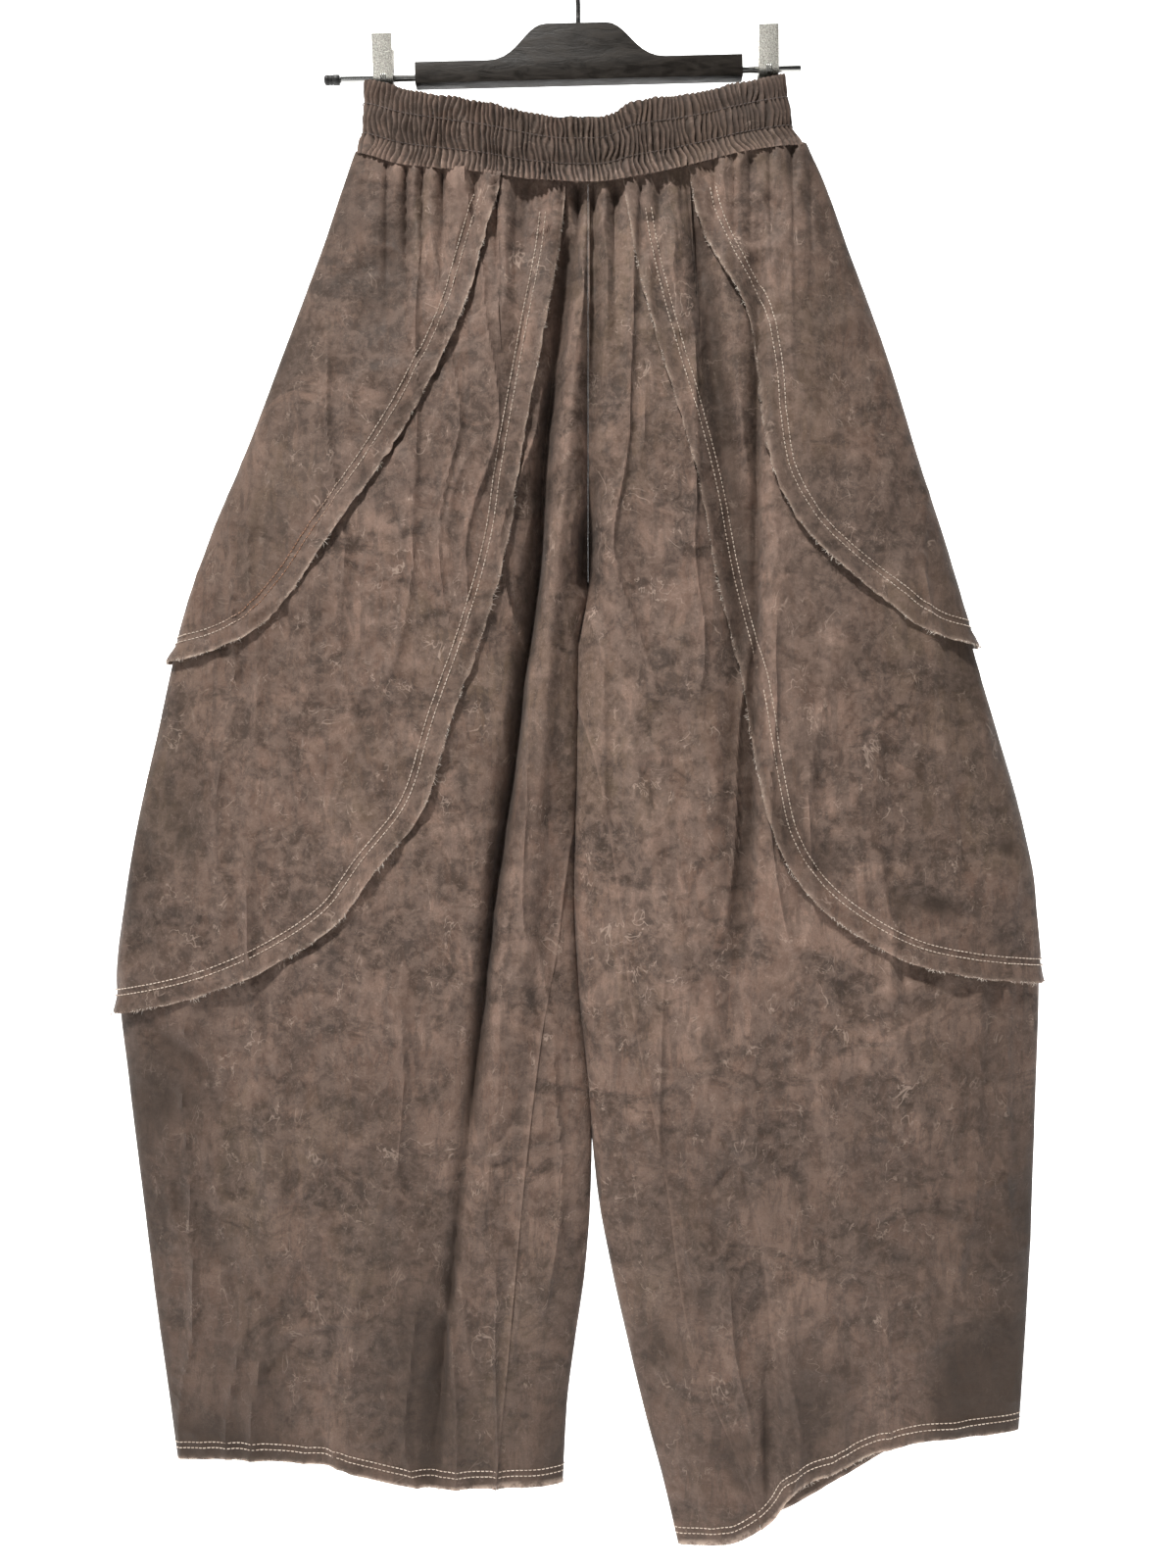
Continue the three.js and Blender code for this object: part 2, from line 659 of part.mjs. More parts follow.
// The places where each column of the grid crosses the waist, both lapped seams and the hem.
function columnsOf(half, back) {
  const counts = back ? COLUMNS.back : COLUMNS.front;
  const thighSeam = makeSeam(half, half.thighEdge, back);
  const hipSeam = makeSeam(half, half.hipEdge, back);
  const firstThigh = counts.leg;
  const firstHip = counts.leg + counts.thigh;
  const last = firstHip + counts.hip;
  const waistShare = (j) => {
    if (j <= firstThigh) return (thighSeam.startShare * j) / firstThigh;
    if (j <= firstHip) {
      const t = (j - firstThigh) / counts.thigh;
      return THREE.MathUtils.lerp(thighSeam.startShare, hipSeam.startShare, t);
    }
    const t = ((j - firstHip) / counts.hip) ** WAIST_SPREAD;
    return THREE.MathUtils.lerp(hipSeam.startShare, 1, t);
  };
  const columns = [];
  for (let j = 0; j <= last; j += 1) {
    const waist = waistPlace(half, waistShare(j), back);
    const hem = hemPlace(half, (j / last) ** HEM_SPREAD, back);
    const thighLength = Math.max(j - firstThigh, 0) / (last - firstThigh);
    const hipLength = Math.max(j - firstHip, 0) / counts.hip;
    const inLeg = j < firstThigh;
    const thighEdge = inLeg ? { across: waist.across, drop: YOKE_DROP } : thighSeam.edge(thighLength);
    const thighUnder = inLeg ? waist : thighSeam.under(thighLength);
    const hipUnder = j < firstHip ? waist : hipSeam.under(hipLength);
    const hipEdge = j < firstHip ? mix(waist, thighUnder, HIP_ROW_SHARE) : hipSeam.edge(hipLength);
    columns.push({ waist, hipUnder, hipEdge, thighUnder, thighEdge, hem });
  }
  return { columns, firstThigh, firstHip };
}

// Rows between two of a column's places, without the first.
function between(a, b, rows) {
  return Array.from({ length: rows }, (_, i) => mix(a, b, (i + 1) / rows));
}

// A leg panel's long rows, one of them at the crotch and one just above it.
function legRows(from, to, crotchShare) {
  const above = Array.from({ length: ROWS.aboveCrotch }, (_, i) => (i + 1) / ROWS.aboveCrotch);
  const below = Array.from({ length: ROWS.belowCrotch }, (_, i) => (i + 1) / ROWS.belowCrotch);
  const turn = crotchShare - CROTCH_ROW_STEP;
  const stops = [
    ...above.map((t) => t * turn),
    crotchShare,
    ...below.map((t) => THREE.MathUtils.lerp(crotchShare, 1, t)),
  ];
  return stops.map((t) => mix(from, to, t));
}

// A closed wall from a grid of places: its outer face at a height over the base surface, its inner
// face a wall's thickness under that.
function wallFrom(half, back, columns, layer) {
  const outer = [];
  const inner = [];
  columns.forEach((column) => {
    column.forEach(({ across, drop }) => {
      const { point, out } = clothAt(half, across, drop, back);
      outer.push(point.clone().addScaledVector(out, layer * LAYER_STEP));
      inner.push(point.clone().addScaledVector(out, layer * LAYER_STEP - WALL));
    });
  });
  return closedWall(outer, inner, columns.length, columns[0].length, false);
}

// Joins two grids of points, stored column by column, into one closed body facing outwards.
function closedWall(outer, inner, columnCount, rowCount, isRing) {
  const points = [...outer, ...inner];
  const offset = outer.length;
  const at = (column, row, isInner) => (column % columnCount) * rowCount + row + (isInner ? offset : 0);
  const faces = [];
  const quad = (a, b, c, d) => faces.push(a, b, c, a, c, d);
  const spans = isRing ? columnCount : columnCount - 1;
  for (let c = 0; c < spans; c += 1) {
    for (let r = 0; r < rowCount - 1; r += 1) {
      quad(at(c, r, false), at(c, r + 1, false), at(c + 1, r + 1, false), at(c + 1, r, false));
      quad(at(c, r, true), at(c + 1, r, true), at(c + 1, r + 1, true), at(c, r + 1, true));
    }
    const bottom = rowCount - 1;
    quad(at(c, 0, false), at(c + 1, 0, false), at(c + 1, 0, true), at(c, 0, true));
    quad(at(c, bottom, false), at(c, bottom, true), at(c + 1, bottom, true), at(c + 1, bottom, false));
  }
  if (!isRing) {
    for (let r = 0; r < rowCount - 1; r += 1) {
      const end = columnCount - 1;
      quad(at(0, r, false), at(0, r, true), at(0, r + 1, true), at(0, r + 1, false));
      quad(at(end, r, false), at(end, r + 1, false), at(end, r + 1, true), at(end, r, true));
    }
  }
  const volume = signedVolume(points, faces);
  if (volume < 0) faces.reverse();
  const geometry = new THREE.BufferGeometry().setFromPoints(points);
  geometry.setIndex(faces);
  geometry.computeVertexNormals();
  return geometry;
}

function signedVolume(points, faces) {
  let six = 0;
  for (let i = 0; i < faces.length; i += 3) {
    const [a, b, c] = [points[faces[i]], points[faces[i + 1]], points[faces[i + 2]]];
    six += a.dot(new THREE.Vector3().crossVectors(b, c));
  }
  return six / 6;
}

function makePanels(half, back) {
  const { columns, firstThigh, firstHip } = columnsOf(half, back);
  const first = columns[0];
  const crotchShare = (CROTCH_DROP - first.thighEdge.drop) / (first.hem.drop - first.thighEdge.drop);
  const hip = columns.slice(firstHip).map((c) => [
    c.waist,
    ...between(c.waist, c.hipUnder, ROWS.hip),
    ...between(c.hipUnder, c.hipEdge, ROWS.strip),
  ]);
  const thigh = columns.slice(firstThigh).map((c) => [
    c.hipUnder,
    ...between(c.hipUnder, c.hipEdge, ROWS.strip),
    ...between(c.hipEdge, c.thighUnder, ROWS.thigh),
    ...between(c.thighUnder, c.thighEdge, ROWS.strip),
  ]);
  const leg = columns.map((c) => [
    c.thighUnder,
    ...between(c.thighUnder, c.thighEdge, ROWS.strip),
    ...legRows(c.thighEdge, c.hem, crotchShare),
  ]);
  const name = `${back ? 'back' : 'front'}_${half.side}`;
  return [
    { name: `${name}_hip`, geometry: wallFrom(half, back, hip, 2) },
    { name: `${name}_thigh`, geometry: wallFrom(half, back, thigh, 1) },
    { name: `${name}_leg`, geometry: wallFrom(half, back, leg, 0) },
  ];
}

// The waistband: a flattened ring whose columns stand in and out by turns, as its gathers do.
function makeBand() {
  const topFront = column(BAND_TOP_FRONT, 'x', 'drop');
  const topBack = column(BAND_TOP_BACK, 'x', 'drop');
  const outer = [];
  const inner = [];
  const half = BAND.gathers;
  for (let k = 0; k < 2 * half; k += 1) {
    const back = k > half;
    const along = back ? (2 * half - k) / half : k / half;
    const crest = k % 2 === 0 ? 1 : -1;
    const uneven = BAND_PACES.reduce((sum, pace) => sum + BAND.unevenness * Math.sin(k * pace), 1);
    BAND_SECTIONS.forEach(({ down, left, right, fullness }) => {
      const middle = (left + right) / 2;
      const wave = BAND.rise * crest * fullness * uneven;
      [outer, inner].forEach((list) => {
        const grow = wave - (list === inner ? WALL : 0);
        const x = middle + ((right - left) / 2 + grow) * (2 * along - 1);
        const top = back ? topBack(x) : topFront(x);
        const bottom = (back ? waistBack(x) : waistFront(x)) - WAIST_GAP;
        const drop = THREE.MathUtils.lerp(top, bottom, down);
        const depth = (back ? depthBack(drop) : depthFront(drop)) + BAND.room + grow;
        const round = Math.max(1 - (2 * along - 1) ** 2, 0) ** BAND.squareness;
        list.push(new THREE.Vector3(x, (back ? 1 : -1) * depth * round, -drop));
      });
    });
  }
  return closedWall(outer, inner, 2 * half, BAND_SECTIONS.length, true);
}

function toSolid(geometry) {
  const bare = geometry.index ? geometry.clone() : mergeVertices(geometry.clone());
  bare.deleteAttribute('normal');
  bare.deleteAttribute('uv');
  const merged = mergeVertices(bare, 1e-4);
  const mesh = new wasm.Mesh({
    numProp: 3,
    vertProperties: new Float32Array(merged.attributes.position.array),
    triVerts: new Uint32Array(merged.index.array),
  });
  return new wasm.Manifold(mesh);
}

function toGeometry(solid) {
  const mesh = solid.getMesh();
  const geometry = new THREE.BufferGeometry();
  geometry.setAttribute('position', new THREE.BufferAttribute(mesh.vertProperties, 3));
  geometry.setIndex(new THREE.BufferAttribute(mesh.triVerts, 1));
  return geometry;
}

function rodAlong(left, right, radius, sides) {
  const geometry = new THREE.CylinderGeometry(radius, radius, right - left, sides);
  return geometry.rotateZ(Math.PI / 2).translate((left + right) / 2, 0, 0);
}

function makeBar() {
  const { left, right, top, bottom, depth } = BAR;
  const { middle, foot, footEase, crown, crownEase, top: summit } = HUMP;
  const outline = new THREE.Shape();
  outline.moveTo(left, bottom);
  outline.lineTo(right, bottom);
  outline.lineTo(right, top);
  const rightFoot = middle + foot;
  const leftFoot = middle - foot;
  const rightCrown = middle + crown;
  const leftCrown = middle - crown;
  outline.lineTo(rightFoot, top);
  outline.bezierCurveTo(rightFoot - footEase, top, rightCrown + crownEase, summit, rightCrown, summit);
  outline.lineTo(leftCrown, summit);
  outline.bezierCurveTo(leftCrown - crownEase, summit, leftFoot + footEase, top, leftFoot, top);
  outline.lineTo(left, top);
  outline.closePath();
  const body = new THREE.ExtrudeGeometry(outline, { depth, bevelEnabled: false, curveSegments: HUMP.steps });
  body.rotateX(Math.PI / 2).translate(0, depth / 2, 0);
  const slotHeight = 2 * (ROD.radius + ROD.gap);
  const slot = new THREE.BoxGeometry(right - left + 2, depth, slotHeight);
  slot.translate((left + right) / 2, depth / 2 - ROD.radius - ROD.gap, 0);
  return toGeometry(toSolid(body).subtract(toSolid(slot)));
}

function makeClip(centre) {
  const bore = rodAlong(centre - CLIP.width, centre + CLIP.width, ROD.radius + ROD.gap, CLIP.sides);
  const barrel = rodAlong(centre - CLIP.width / 2, centre + CLIP.width / 2, CLIP.barrel, CLIP.sides);
  let solid = toSolid(barrel);
  Object.values(CLIP_PLATES).forEach(({ fromY, fromZ, toY, toZ }) => {
    const length = Math.hypot(toY - fromY, toZ - fromZ);
    const plate = new THREE.BoxGeometry(CLIP.width, length, CLIP.plate);
    plate.rotateX(Math.atan2(toZ - fromZ, toY - fromY));
    plate.translate(centre, (fromY + toY) / 2, (fromZ + toZ) / 2);
    solid = solid.add(toSolid(plate));
  });
  return toGeometry(solid.subtract(toSolid(bore)));
}

function makeHook() {
  const round = new THREE.Shape();
  round.absarc(0, 0, HOOK.wire, 0, 2 * Math.PI, false);
  const turns = (HOOK_TURN.last - HOOK_TURN.first) / HOOK_TURN.step;
  const bend = Array.from({ length: turns + 1 }, (_, i) => {
    const turn = THREE.MathUtils.degToRad(HOOK_TURN.first + i * HOOK_TURN.step);
    const middle = HOOK.wire - HOOK.bend;
    return new THREE.Vector3(HOOK.bend * Math.cos(turn), 0, middle + HOOK.bend * Math.sin(turn));
  });
  const stem = HOOK_STEM.map(({ x, z }) => new THREE.Vector3(x, 0, z));
  const foot = new THREE.Vector3(0, 0, HOOK.foot);
  const path = new THREE.CatmullRomCurve3([foot, ...stem, ...bend], false, 'centripetal');
  const options = { steps: HOOK.steps, extrudePath: path, curveSegments: HOOK.sides / 2 };
  return new THREE.ExtrudeGeometry(round, options);
}

const cloth = new THREE.MeshStandardMaterial({ color: CLOTH_COLOUR, roughness: 0.85 });
const bandCloth = new THREE.MeshStandardMaterial({ color: BAND_COLOUR, roughness: 0.85 });
const plastic = new THREE.MeshStandardMaterial({ color: BAR_COLOUR, roughness: 0.5 });
const steel = new THREE.MeshStandardMaterial({ color: STEEL_COLOUR, roughness: 0.3, metalness: 1 });
const capPlastic = new THREE.MeshStandardMaterial({ color: CAP_COLOUR, roughness: 0.6 });

function named(name, geometry, material) {
  const mesh = new THREE.Mesh(geometry, material);
  mesh.name = name;
  return mesh;
}

const garment = new THREE.Group();
garment.add(named('waistband', makeBand(), bandCloth));
[LEFT, RIGHT].forEach((half) => {
  [false, true].forEach((back) => {
    makePanels(half, back).forEach(({ name, geometry }) => garment.add(named(name, geometry, cloth)));
  });
});

const hanger = new THREE.Group();
hanger.position.set(HANGER.x, 0, -HANGER.drop);
hanger.rotation.y = -HANGER.tilt;
hanger.add(named('hanger_bar', makeBar(), plastic));
hanger.add(named('hanger_rod', rodAlong(ROD.left, ROD.right, ROD.radius, ROD.sides), steel));
const capEnd = ROD.left - SEAM_GAP;
hanger.add(named('hanger_rod_cap', rodAlong(capEnd - CAP.length, capEnd, CAP.radius, ROD.sides), capPlastic));
CLIP.centres.forEach((centre, i) => {
  hanger.add(named(`hanger_clip_${i === 0 ? 'left' : 'right'}`, makeClip(centre), steel));
});

const part = new THREE.Group();
part.add(garment, hanger, named('hanger_hook', makeHook(), steel));

export default part;
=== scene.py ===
"""Balloon pants on a clip hanger: the looks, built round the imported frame.

Sizes are in millimetres until a mesh is made. The origin is the top of the hook's inner side, the
front faces -Y, left and right are the viewer's, and "drop" is a height measured down from the origin.
Every panel of cloth lies on the same ring surface as its solid: a ring's angle runs from the side
seam at 0 over the front to the inner edge at pi, and on over the back to the side seam again.
"""

import math

import bpy
import numpy as np
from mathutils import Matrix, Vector


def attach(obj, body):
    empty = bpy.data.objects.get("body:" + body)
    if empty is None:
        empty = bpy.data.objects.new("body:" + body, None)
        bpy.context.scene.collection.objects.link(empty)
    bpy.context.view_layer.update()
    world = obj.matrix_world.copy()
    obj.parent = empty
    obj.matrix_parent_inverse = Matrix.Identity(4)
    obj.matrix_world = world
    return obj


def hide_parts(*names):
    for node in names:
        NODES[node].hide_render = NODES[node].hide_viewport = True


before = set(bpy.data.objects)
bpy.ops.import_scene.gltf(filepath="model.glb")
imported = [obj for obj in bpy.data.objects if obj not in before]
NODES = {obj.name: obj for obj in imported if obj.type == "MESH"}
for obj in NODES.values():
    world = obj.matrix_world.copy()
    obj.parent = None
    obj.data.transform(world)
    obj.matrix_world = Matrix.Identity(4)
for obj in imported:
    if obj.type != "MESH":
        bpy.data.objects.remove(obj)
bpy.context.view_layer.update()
METRES = 0.001

# Cloth, as the solids have it
WALL = 1.2
SEAM_GAP = 0.3
LAYER_STEP = 1.8
UNDERLAP = 15
# An underlap's edge, as shares of its seam: where it is full, how fast it ends, and how it starts
UNDER_EDGE = {"grows": 0.12, "ends": 0.25, "start": 0.5, "waist_room": 3}
CROTCH_DROP = 476
CENTRE_X = 7
WAIST_DROP = 180
YOKE_DROP = 203
RISE_CURVE = 2.2
RING_POWER = 0.7
INSEAM_HOLD_POWER = 8
INSEAM_HOLD_TURN = 0.8 * math.pi
FOLD_ROOM = 18
FOLD_FADE = 30

# The solids' gaps at the inner edges are closed: below the crotch the legs press into each other
LEG_GAP = -1.8
CENTRE_GAP = 0.04

# drop, half depth of the cloth in front of and behind the hanger's plane
DEPTH = [
    (115, 12, 11), (190, 15, 14), (300, 27, 20), (476, 34, 24), (700, 36, 26), (900, 29, 23),
    (1170, 12, 11),
]

# drop, x
OUTER_LEFT = [
    (160, -154), (192, -165), (235, -179), (316, -209), (382, -234), (441, -259), (515, -283),
    (578, -298), (650, -314), (699, -322), (755, -328), (826, -321), (966, -303), (1079, -288),
    (1170, -276),
]
OUTER_RIGHT = [
    (160, 160), (192, 174), (235, 189), (316, 218), (382, 238), (441, 257), (515, 278), (578, 296),
    (650, 316), (699, 325), (755, 329), (826, 327), (966, 321), (1079, 314), (1170, 306),
]
INNER_LEFT = [
    (100, CENTRE_X), (476, CENTRE_X), (520, 0), (607, -1), (686, -3), (769, 1), (806, 5), (861, 9),
    (909, 8), (963, 4), (1012, -3), (1061, -9), (1170, -14),
]
INNER_RIGHT = [
    (100, CENTRE_X), (476, CENTRE_X), (520, 0), (607, -1), (686, -3), (769, 1), (806, 5), (861, 10),
    (909, 15), (958, 24), (1012, 36), (1066, 49), (1110, 61), (1170, 75),
]
INSEAM_LEFT = [
    (640, -2), (685, -9), (728, -14), (791, -25), (890, -37), (1020, -49), (1091, -56), (1170, -62),
]
INSEAM_RIGHT = [
    (560, -1), (601, 12), (671, 25), (763, 36), (893, 61), (996, 76), (1138, 128), (1170, 134),
]

# x, drop
WAIST_SEAM_FRONT = [
    (-170, 162), (-153, 167), (-124, 177), (-73, 183), (-31, 189), (10, 191), (40, 187), (80, 178),
    (117, 168), (154, 161), (180, 157),
]
WAIST_SEAM_BACK = [(-170, 162), (-153, 167), (-73, 174), (10, 178), (80, 171), (154, 161), (180, 157)]
HEM_FRONT_LEFT = [
    (-300, 1097), (-240, 1093), (-179, 1096), (-150, 1105), (-107, 1113), (-60, 1114), (-8, 1113),
]
HEM_FRONT_RIGHT = [
    (66, 1158), (110, 1153), (136, 1138), (148, 1118), (179, 1101), (221, 1084), (255, 1078),
    (320, 1075),
]
HEM_BACK_LEFT = [(-300, 1097), (-240, 1098), (-150, 1112), (-90, 1122), (-8, 1113)]
HEM_BACK_RIGHT = [(66, 1158), (110, 1152), (150, 1138), (190, 1116), (240, 1090), (320, 1075)]

# x, drop of the raw edges of the two lapped seams, from the waist round to the side seam
HIP_EDGE_LEFT = [
    (-55, 198), (-66, 237), (-81, 289), (-106, 340), (-140, 398), (-173, 445), (-197, 481),
    (-224, 510), (-256, 524), (-289, 531),
]
THIGH_EDGE_LEFT = [
    (-9, 203), (-13, 240), (-22, 290), (-41, 397), (-48, 445), (-65, 508), (-87, 570), (-108, 635),
    (-139, 676), (-166, 712), (-214, 744), (-266, 765), (-327, 779),
]
HIP_EDGE_RIGHT = [
    (79, 191), (84, 214), (96, 244), (116, 282), (125, 325), (128, 363), (134, 399), (144, 421),
    (162, 446), (208, 485), (244, 510), (285, 520),
]
THIGH_EDGE_RIGHT = [
    (33, 202), (40, 244), (51, 291), (83, 402), (97, 474), (115, 548), (124, 605), (136, 656),
    (158, 692), (193, 721), (232, 741), (271, 750), (329, 757),
]

# Folds, as the solids have them: drop, the crest's x, its rise, its width to the left and right
FOLDS_FRONT = {
    "left_deep_valley": [
        (195, -3, -4, 6, 6), (261, -7, -10, 8, 8), (375, -21, -12, 10, 9), (444, -27, -11, 10, 9),
        (553, -41, -8, 8, 8), (758, -65, -6, 8, 8), (880, -80, -2, 8, 8),
    ],
    "left_inner_strip": [
        (200, 9, 2, 7, 6), (310, -1, 5, 8, 7), (445, -14, 6, 8, 7), (685, -33, 6, 12, 8),
        (860, -50, 2, 12, 8),
    ],
    "left_hip_ridge": [(195, -52, 3, 12, 10), (290, -56, 5, 14, 10), (400, -68, 1, 16, 12)],
    "left_hip_pocket": [(188, -38, -4, 7, 7), (215, -38, -6, 7, 7), (260, -37, -1, 8, 8)],
    "left_side_trough": [(184, -113, -3, 15, 15), (230, -124, -6, 18, 18), (320, -145, -1, 24, 24)],
    "left_dart": [(870, -79, -1, 6, 6), (933, -87, -4, 7, 7), (1110, -107, -3, 8, 8)],
    "centre_groove": [(190, 10, -4, 6, 7), (300, 11, -8, 7, 8), (470, 8, -8, 7, 7)],
    "right_centre_ridge": [
        (360, 19, 1, 7, 14), (444, 21, 5, 8, 18), (544, 32, 6, 9, 20), (640, 44, 2, 10, 20),
    ],
    "right_deep_valley": [
        (180, 78, -3, 7, 7), (225, 84, -10, 9, 9), (317, 95, -12, 11, 10), (405, 105, -12, 11, 10),
        (510, 113, -8, 11, 9), (700, 110, -7, 12, 9), (810, 103, -2, 12, 8),
    ],
    "right_lapped_fold": [
        (190, 138, 3, 9, 24), (307, 136, 6, 10, 30), (510, 135, 7, 10, 36), (640, 135, 7, 10, 36),
        (795, 123, 3, 10, 30),
    ],
    "right_inner_ridge": [
        (594, 38, 2, 12, 8), (671, 55, 5, 16, 8), (820, 92, 5, 16, 8), (885, 107, 1, 14, 8),
    ],
    "right_dart": [(885, 120, 1, 7, 12), (1016, 143, 5, 7, 16), (1120, 146, 5, 7, 16)],
}
FOLDS_BACK = {
    "left_valley": [
        (185, -42, -3, 9, 9), (300, -50, -7, 11, 11), (620, -78, -6, 13, 12), (860, -112, -1, 14, 12),
    ],
    "left_ridge": [(185, -96, 2, 14, 11), (340, -128, 5, 22, 14), (560, -170, 1, 26, 18)],
    "centre_groove": [(185, 6, -3, 8, 8), (330, 5, -6, 9, 9), (465, 7, -4, 8, 8)],
    "right_valley": [
        (185, 58, -3, 9, 9), (280, 64, -7, 11, 10), (540, 96, -6, 13, 11), (800, 128, -1, 14, 12),
    ],
    "right_ridge": [(420, 150, 1, 16, 22), (640, 172, 5, 18, 28), (900, 196, 1, 20, 28)],
}

# Creases: rise, width to the left and right of the line as it is drawn, how pale its crest is worn,
# and the line as x, drop
CREASES_FRONT = {
    "left_thigh_dent": (-2.2, 9, 14, 0, [(-288, 616), (-273, 650), (-258, 701)]),
    "left_thigh_ridge": (1.8, 8, 9, 0.25, [(-293, 706), (-269, 701), (-244, 703), (-223, 686)]),
    "left_side_pucker_high": (-1.4, 4, 5, 0, [(-315, 688), (-300, 680), (-285, 664)]),
    "left_side_pucker_low": (-1.3, 4, 5, 0, [(-316, 722), (-303, 729), (-293, 742)]),
    "left_under_thigh": (-1.8, 5, 9, 0, [(-305, 783), (-279, 802), (-252, 819)]),
    "left_thigh_trough": (-2.0, 12, 15, 0, [(-140, 507), (-148, 562), (-153, 623)]),
    "left_hip_end": (-2.2, 5, 6, 0, [(-236, 529), (-234, 541), (-238, 556)]),
    "left_hip_soft": (-2.4, 16, 12, 0, [(-88, 300), (-112, 352), (-148, 405)]),
    "left_knee_ridge": (1.8, 3, 4, 0.4, [(-213, 1003), (-180, 994), (-146, 992)]),
    "left_knee_crease": (-1.5, 3, 3, 0.2, [(-198, 1005), (-211, 1020), (-223, 1036)]),
    "left_pressed": (0.6, 3, 3, 0.3, [(-197, 1006), (-196, 1083)]),
    "left_low_trough": (-1.6, 14, 14, 0, [(-290, 889), (-245, 950), (-198, 984)]),
    "left_low_ridge": (1.2, 10, 12, 0, [(-279, 977), (-232, 950), (-177, 937)]),
    "left_dart": (-2.4, 3, 3, 0.9, [(-80, 880), (-87, 950), (-95, 1025), (-102, 1108)]),
    "left_strip_high": (-1.9, 3, 4, 0, [(-63, 870), (-53, 863), (-42, 848)]),
    "left_strip_mid": (-1.6, 3, 4, 0, [(-67, 882), (-54, 883), (-43, 877)]),
    "left_strip_low": (-1.1, 3, 4, 0, [(-68, 931), (-58, 927), (-48, 931)]),
    "left_strip_lowest": (-1.0, 3, 4, 0, [(-61, 977), (-53, 972), (-45, 975)]),
    "left_deep_line": (
        -7, 3.4, 3.4, 0,
        [(-11, 275), (-25, 398), (-26, 446), (-31, 493), (-39, 548), (-46, 609), (-58, 684),
         (-65, 752), (-78, 872)],
    ),
    "right_pucker_ridge": (2.4, 4, 4, 0.5, [(34, 590), (42, 598), (53, 594), (61, 602)]),
    "right_pucker": (-2.6, 4, 6, 0, [(44, 606), (51, 616), (55, 637)]),
    "right_long_edge": (
        1.8, 4, 14, 0.2, [(49, 606), (68, 671), (85, 739), (101, 814), (111, 875)],
    ),
    "star_down": (-2.0, 3, 4, 0, [(111, 877), (101, 891), (90, 904)]),
    "star_left": (-1.7, 3, 4, 0, [(111, 877), (104, 868), (98, 860)]),
    "star_up": (1.6, 3, 4, 0.3, [(109, 875), (112, 855), (114, 833)]),
    "star_right": (-1.5, 3, 4, 0, [(111, 879), (117, 889), (122, 900)]),
    "star_low": (-1.6, 4, 5, 0, [(90, 916), (96, 928), (101, 941)]),
    "right_dart": (-2.0, 3, 3, 0.7, [(111, 877), (120, 909), (130, 952), (137, 1012), (141, 1105)]),
    "right_dart_lap": (-3.0, 3, 3, 0.2, [(132, 1025), (133, 1080), (134, 1134)]),
    "right_low_dent": (-1.8, 6, 8, 0, [(75, 957), (83, 972), (90, 988)]),
    "right_thigh_fold_high": (-2.6, 5, 7, 0, [(164, 601), (168, 622), (167, 642)]),
    "right_thigh_fold_mid": (-2.8, 5, 6, 0, [(134, 631), (143, 647), (149, 662), (160, 672)]),
    "right_thigh_fold_low": (-2.4, 4, 5, 0, [(152, 671), (167, 676), (177, 680)]),
    "right_dark_patch_fold_left": (-2.2, 6, 7, 0, [(203, 701), (220, 696), (235, 699), (249, 695)]),
    "right_dark_patch_fold_right": (-2.2, 5, 6, 0, [(251, 695), (263, 705), (276, 715)]),
    "right_dark_patch_fold_low": (-1.6, 4, 5, 0, [(242, 717), (256, 714), (269, 718)]),
    "right_side_fold_high": (-1.8, 4, 5, 0, [(293, 656), (302, 661), (307, 671)]),
    "right_side_fold_low": (-1.8, 4, 5, 0, [(287, 724), (297, 728), (306, 742)]),
    "right_under_ridge": (1.8, 5, 6, 0.2, [(201, 770), (229, 759), (252, 761)]),
    "right_under_trough": (-1.8, 6, 8, 0, [(198, 783), (232, 776), (273, 756)]),
    "right_under_dent": (-2.0, 9, 9, 0, [(177, 752), (191, 766), (203, 793)]),
    "right_pressed": (
        0.8, 3, 3, 0.45, [(250, 760), (254, 787), (259, 875), (269, 977), (278, 1049)],
    ),
    "right_hip_dimple": (-3.0, 4, 4, 0.4, [(133, 200), (138, 209), (145, 215)]),
    "right_hip_ridge": (2.0, 10, 14, 0, [(143, 193), (164, 227), (184, 275)]),
    "right_lap": (
        -7, 6, 3, 0,
        [(127, 217), (126, 330), (125, 452), (124, 548), (122, 630), (117, 725)],
    ),
    "crotch_hole": (-6.0, 5, 5, 0, [(5, 425), (3, 456), (2, 480)]),
}
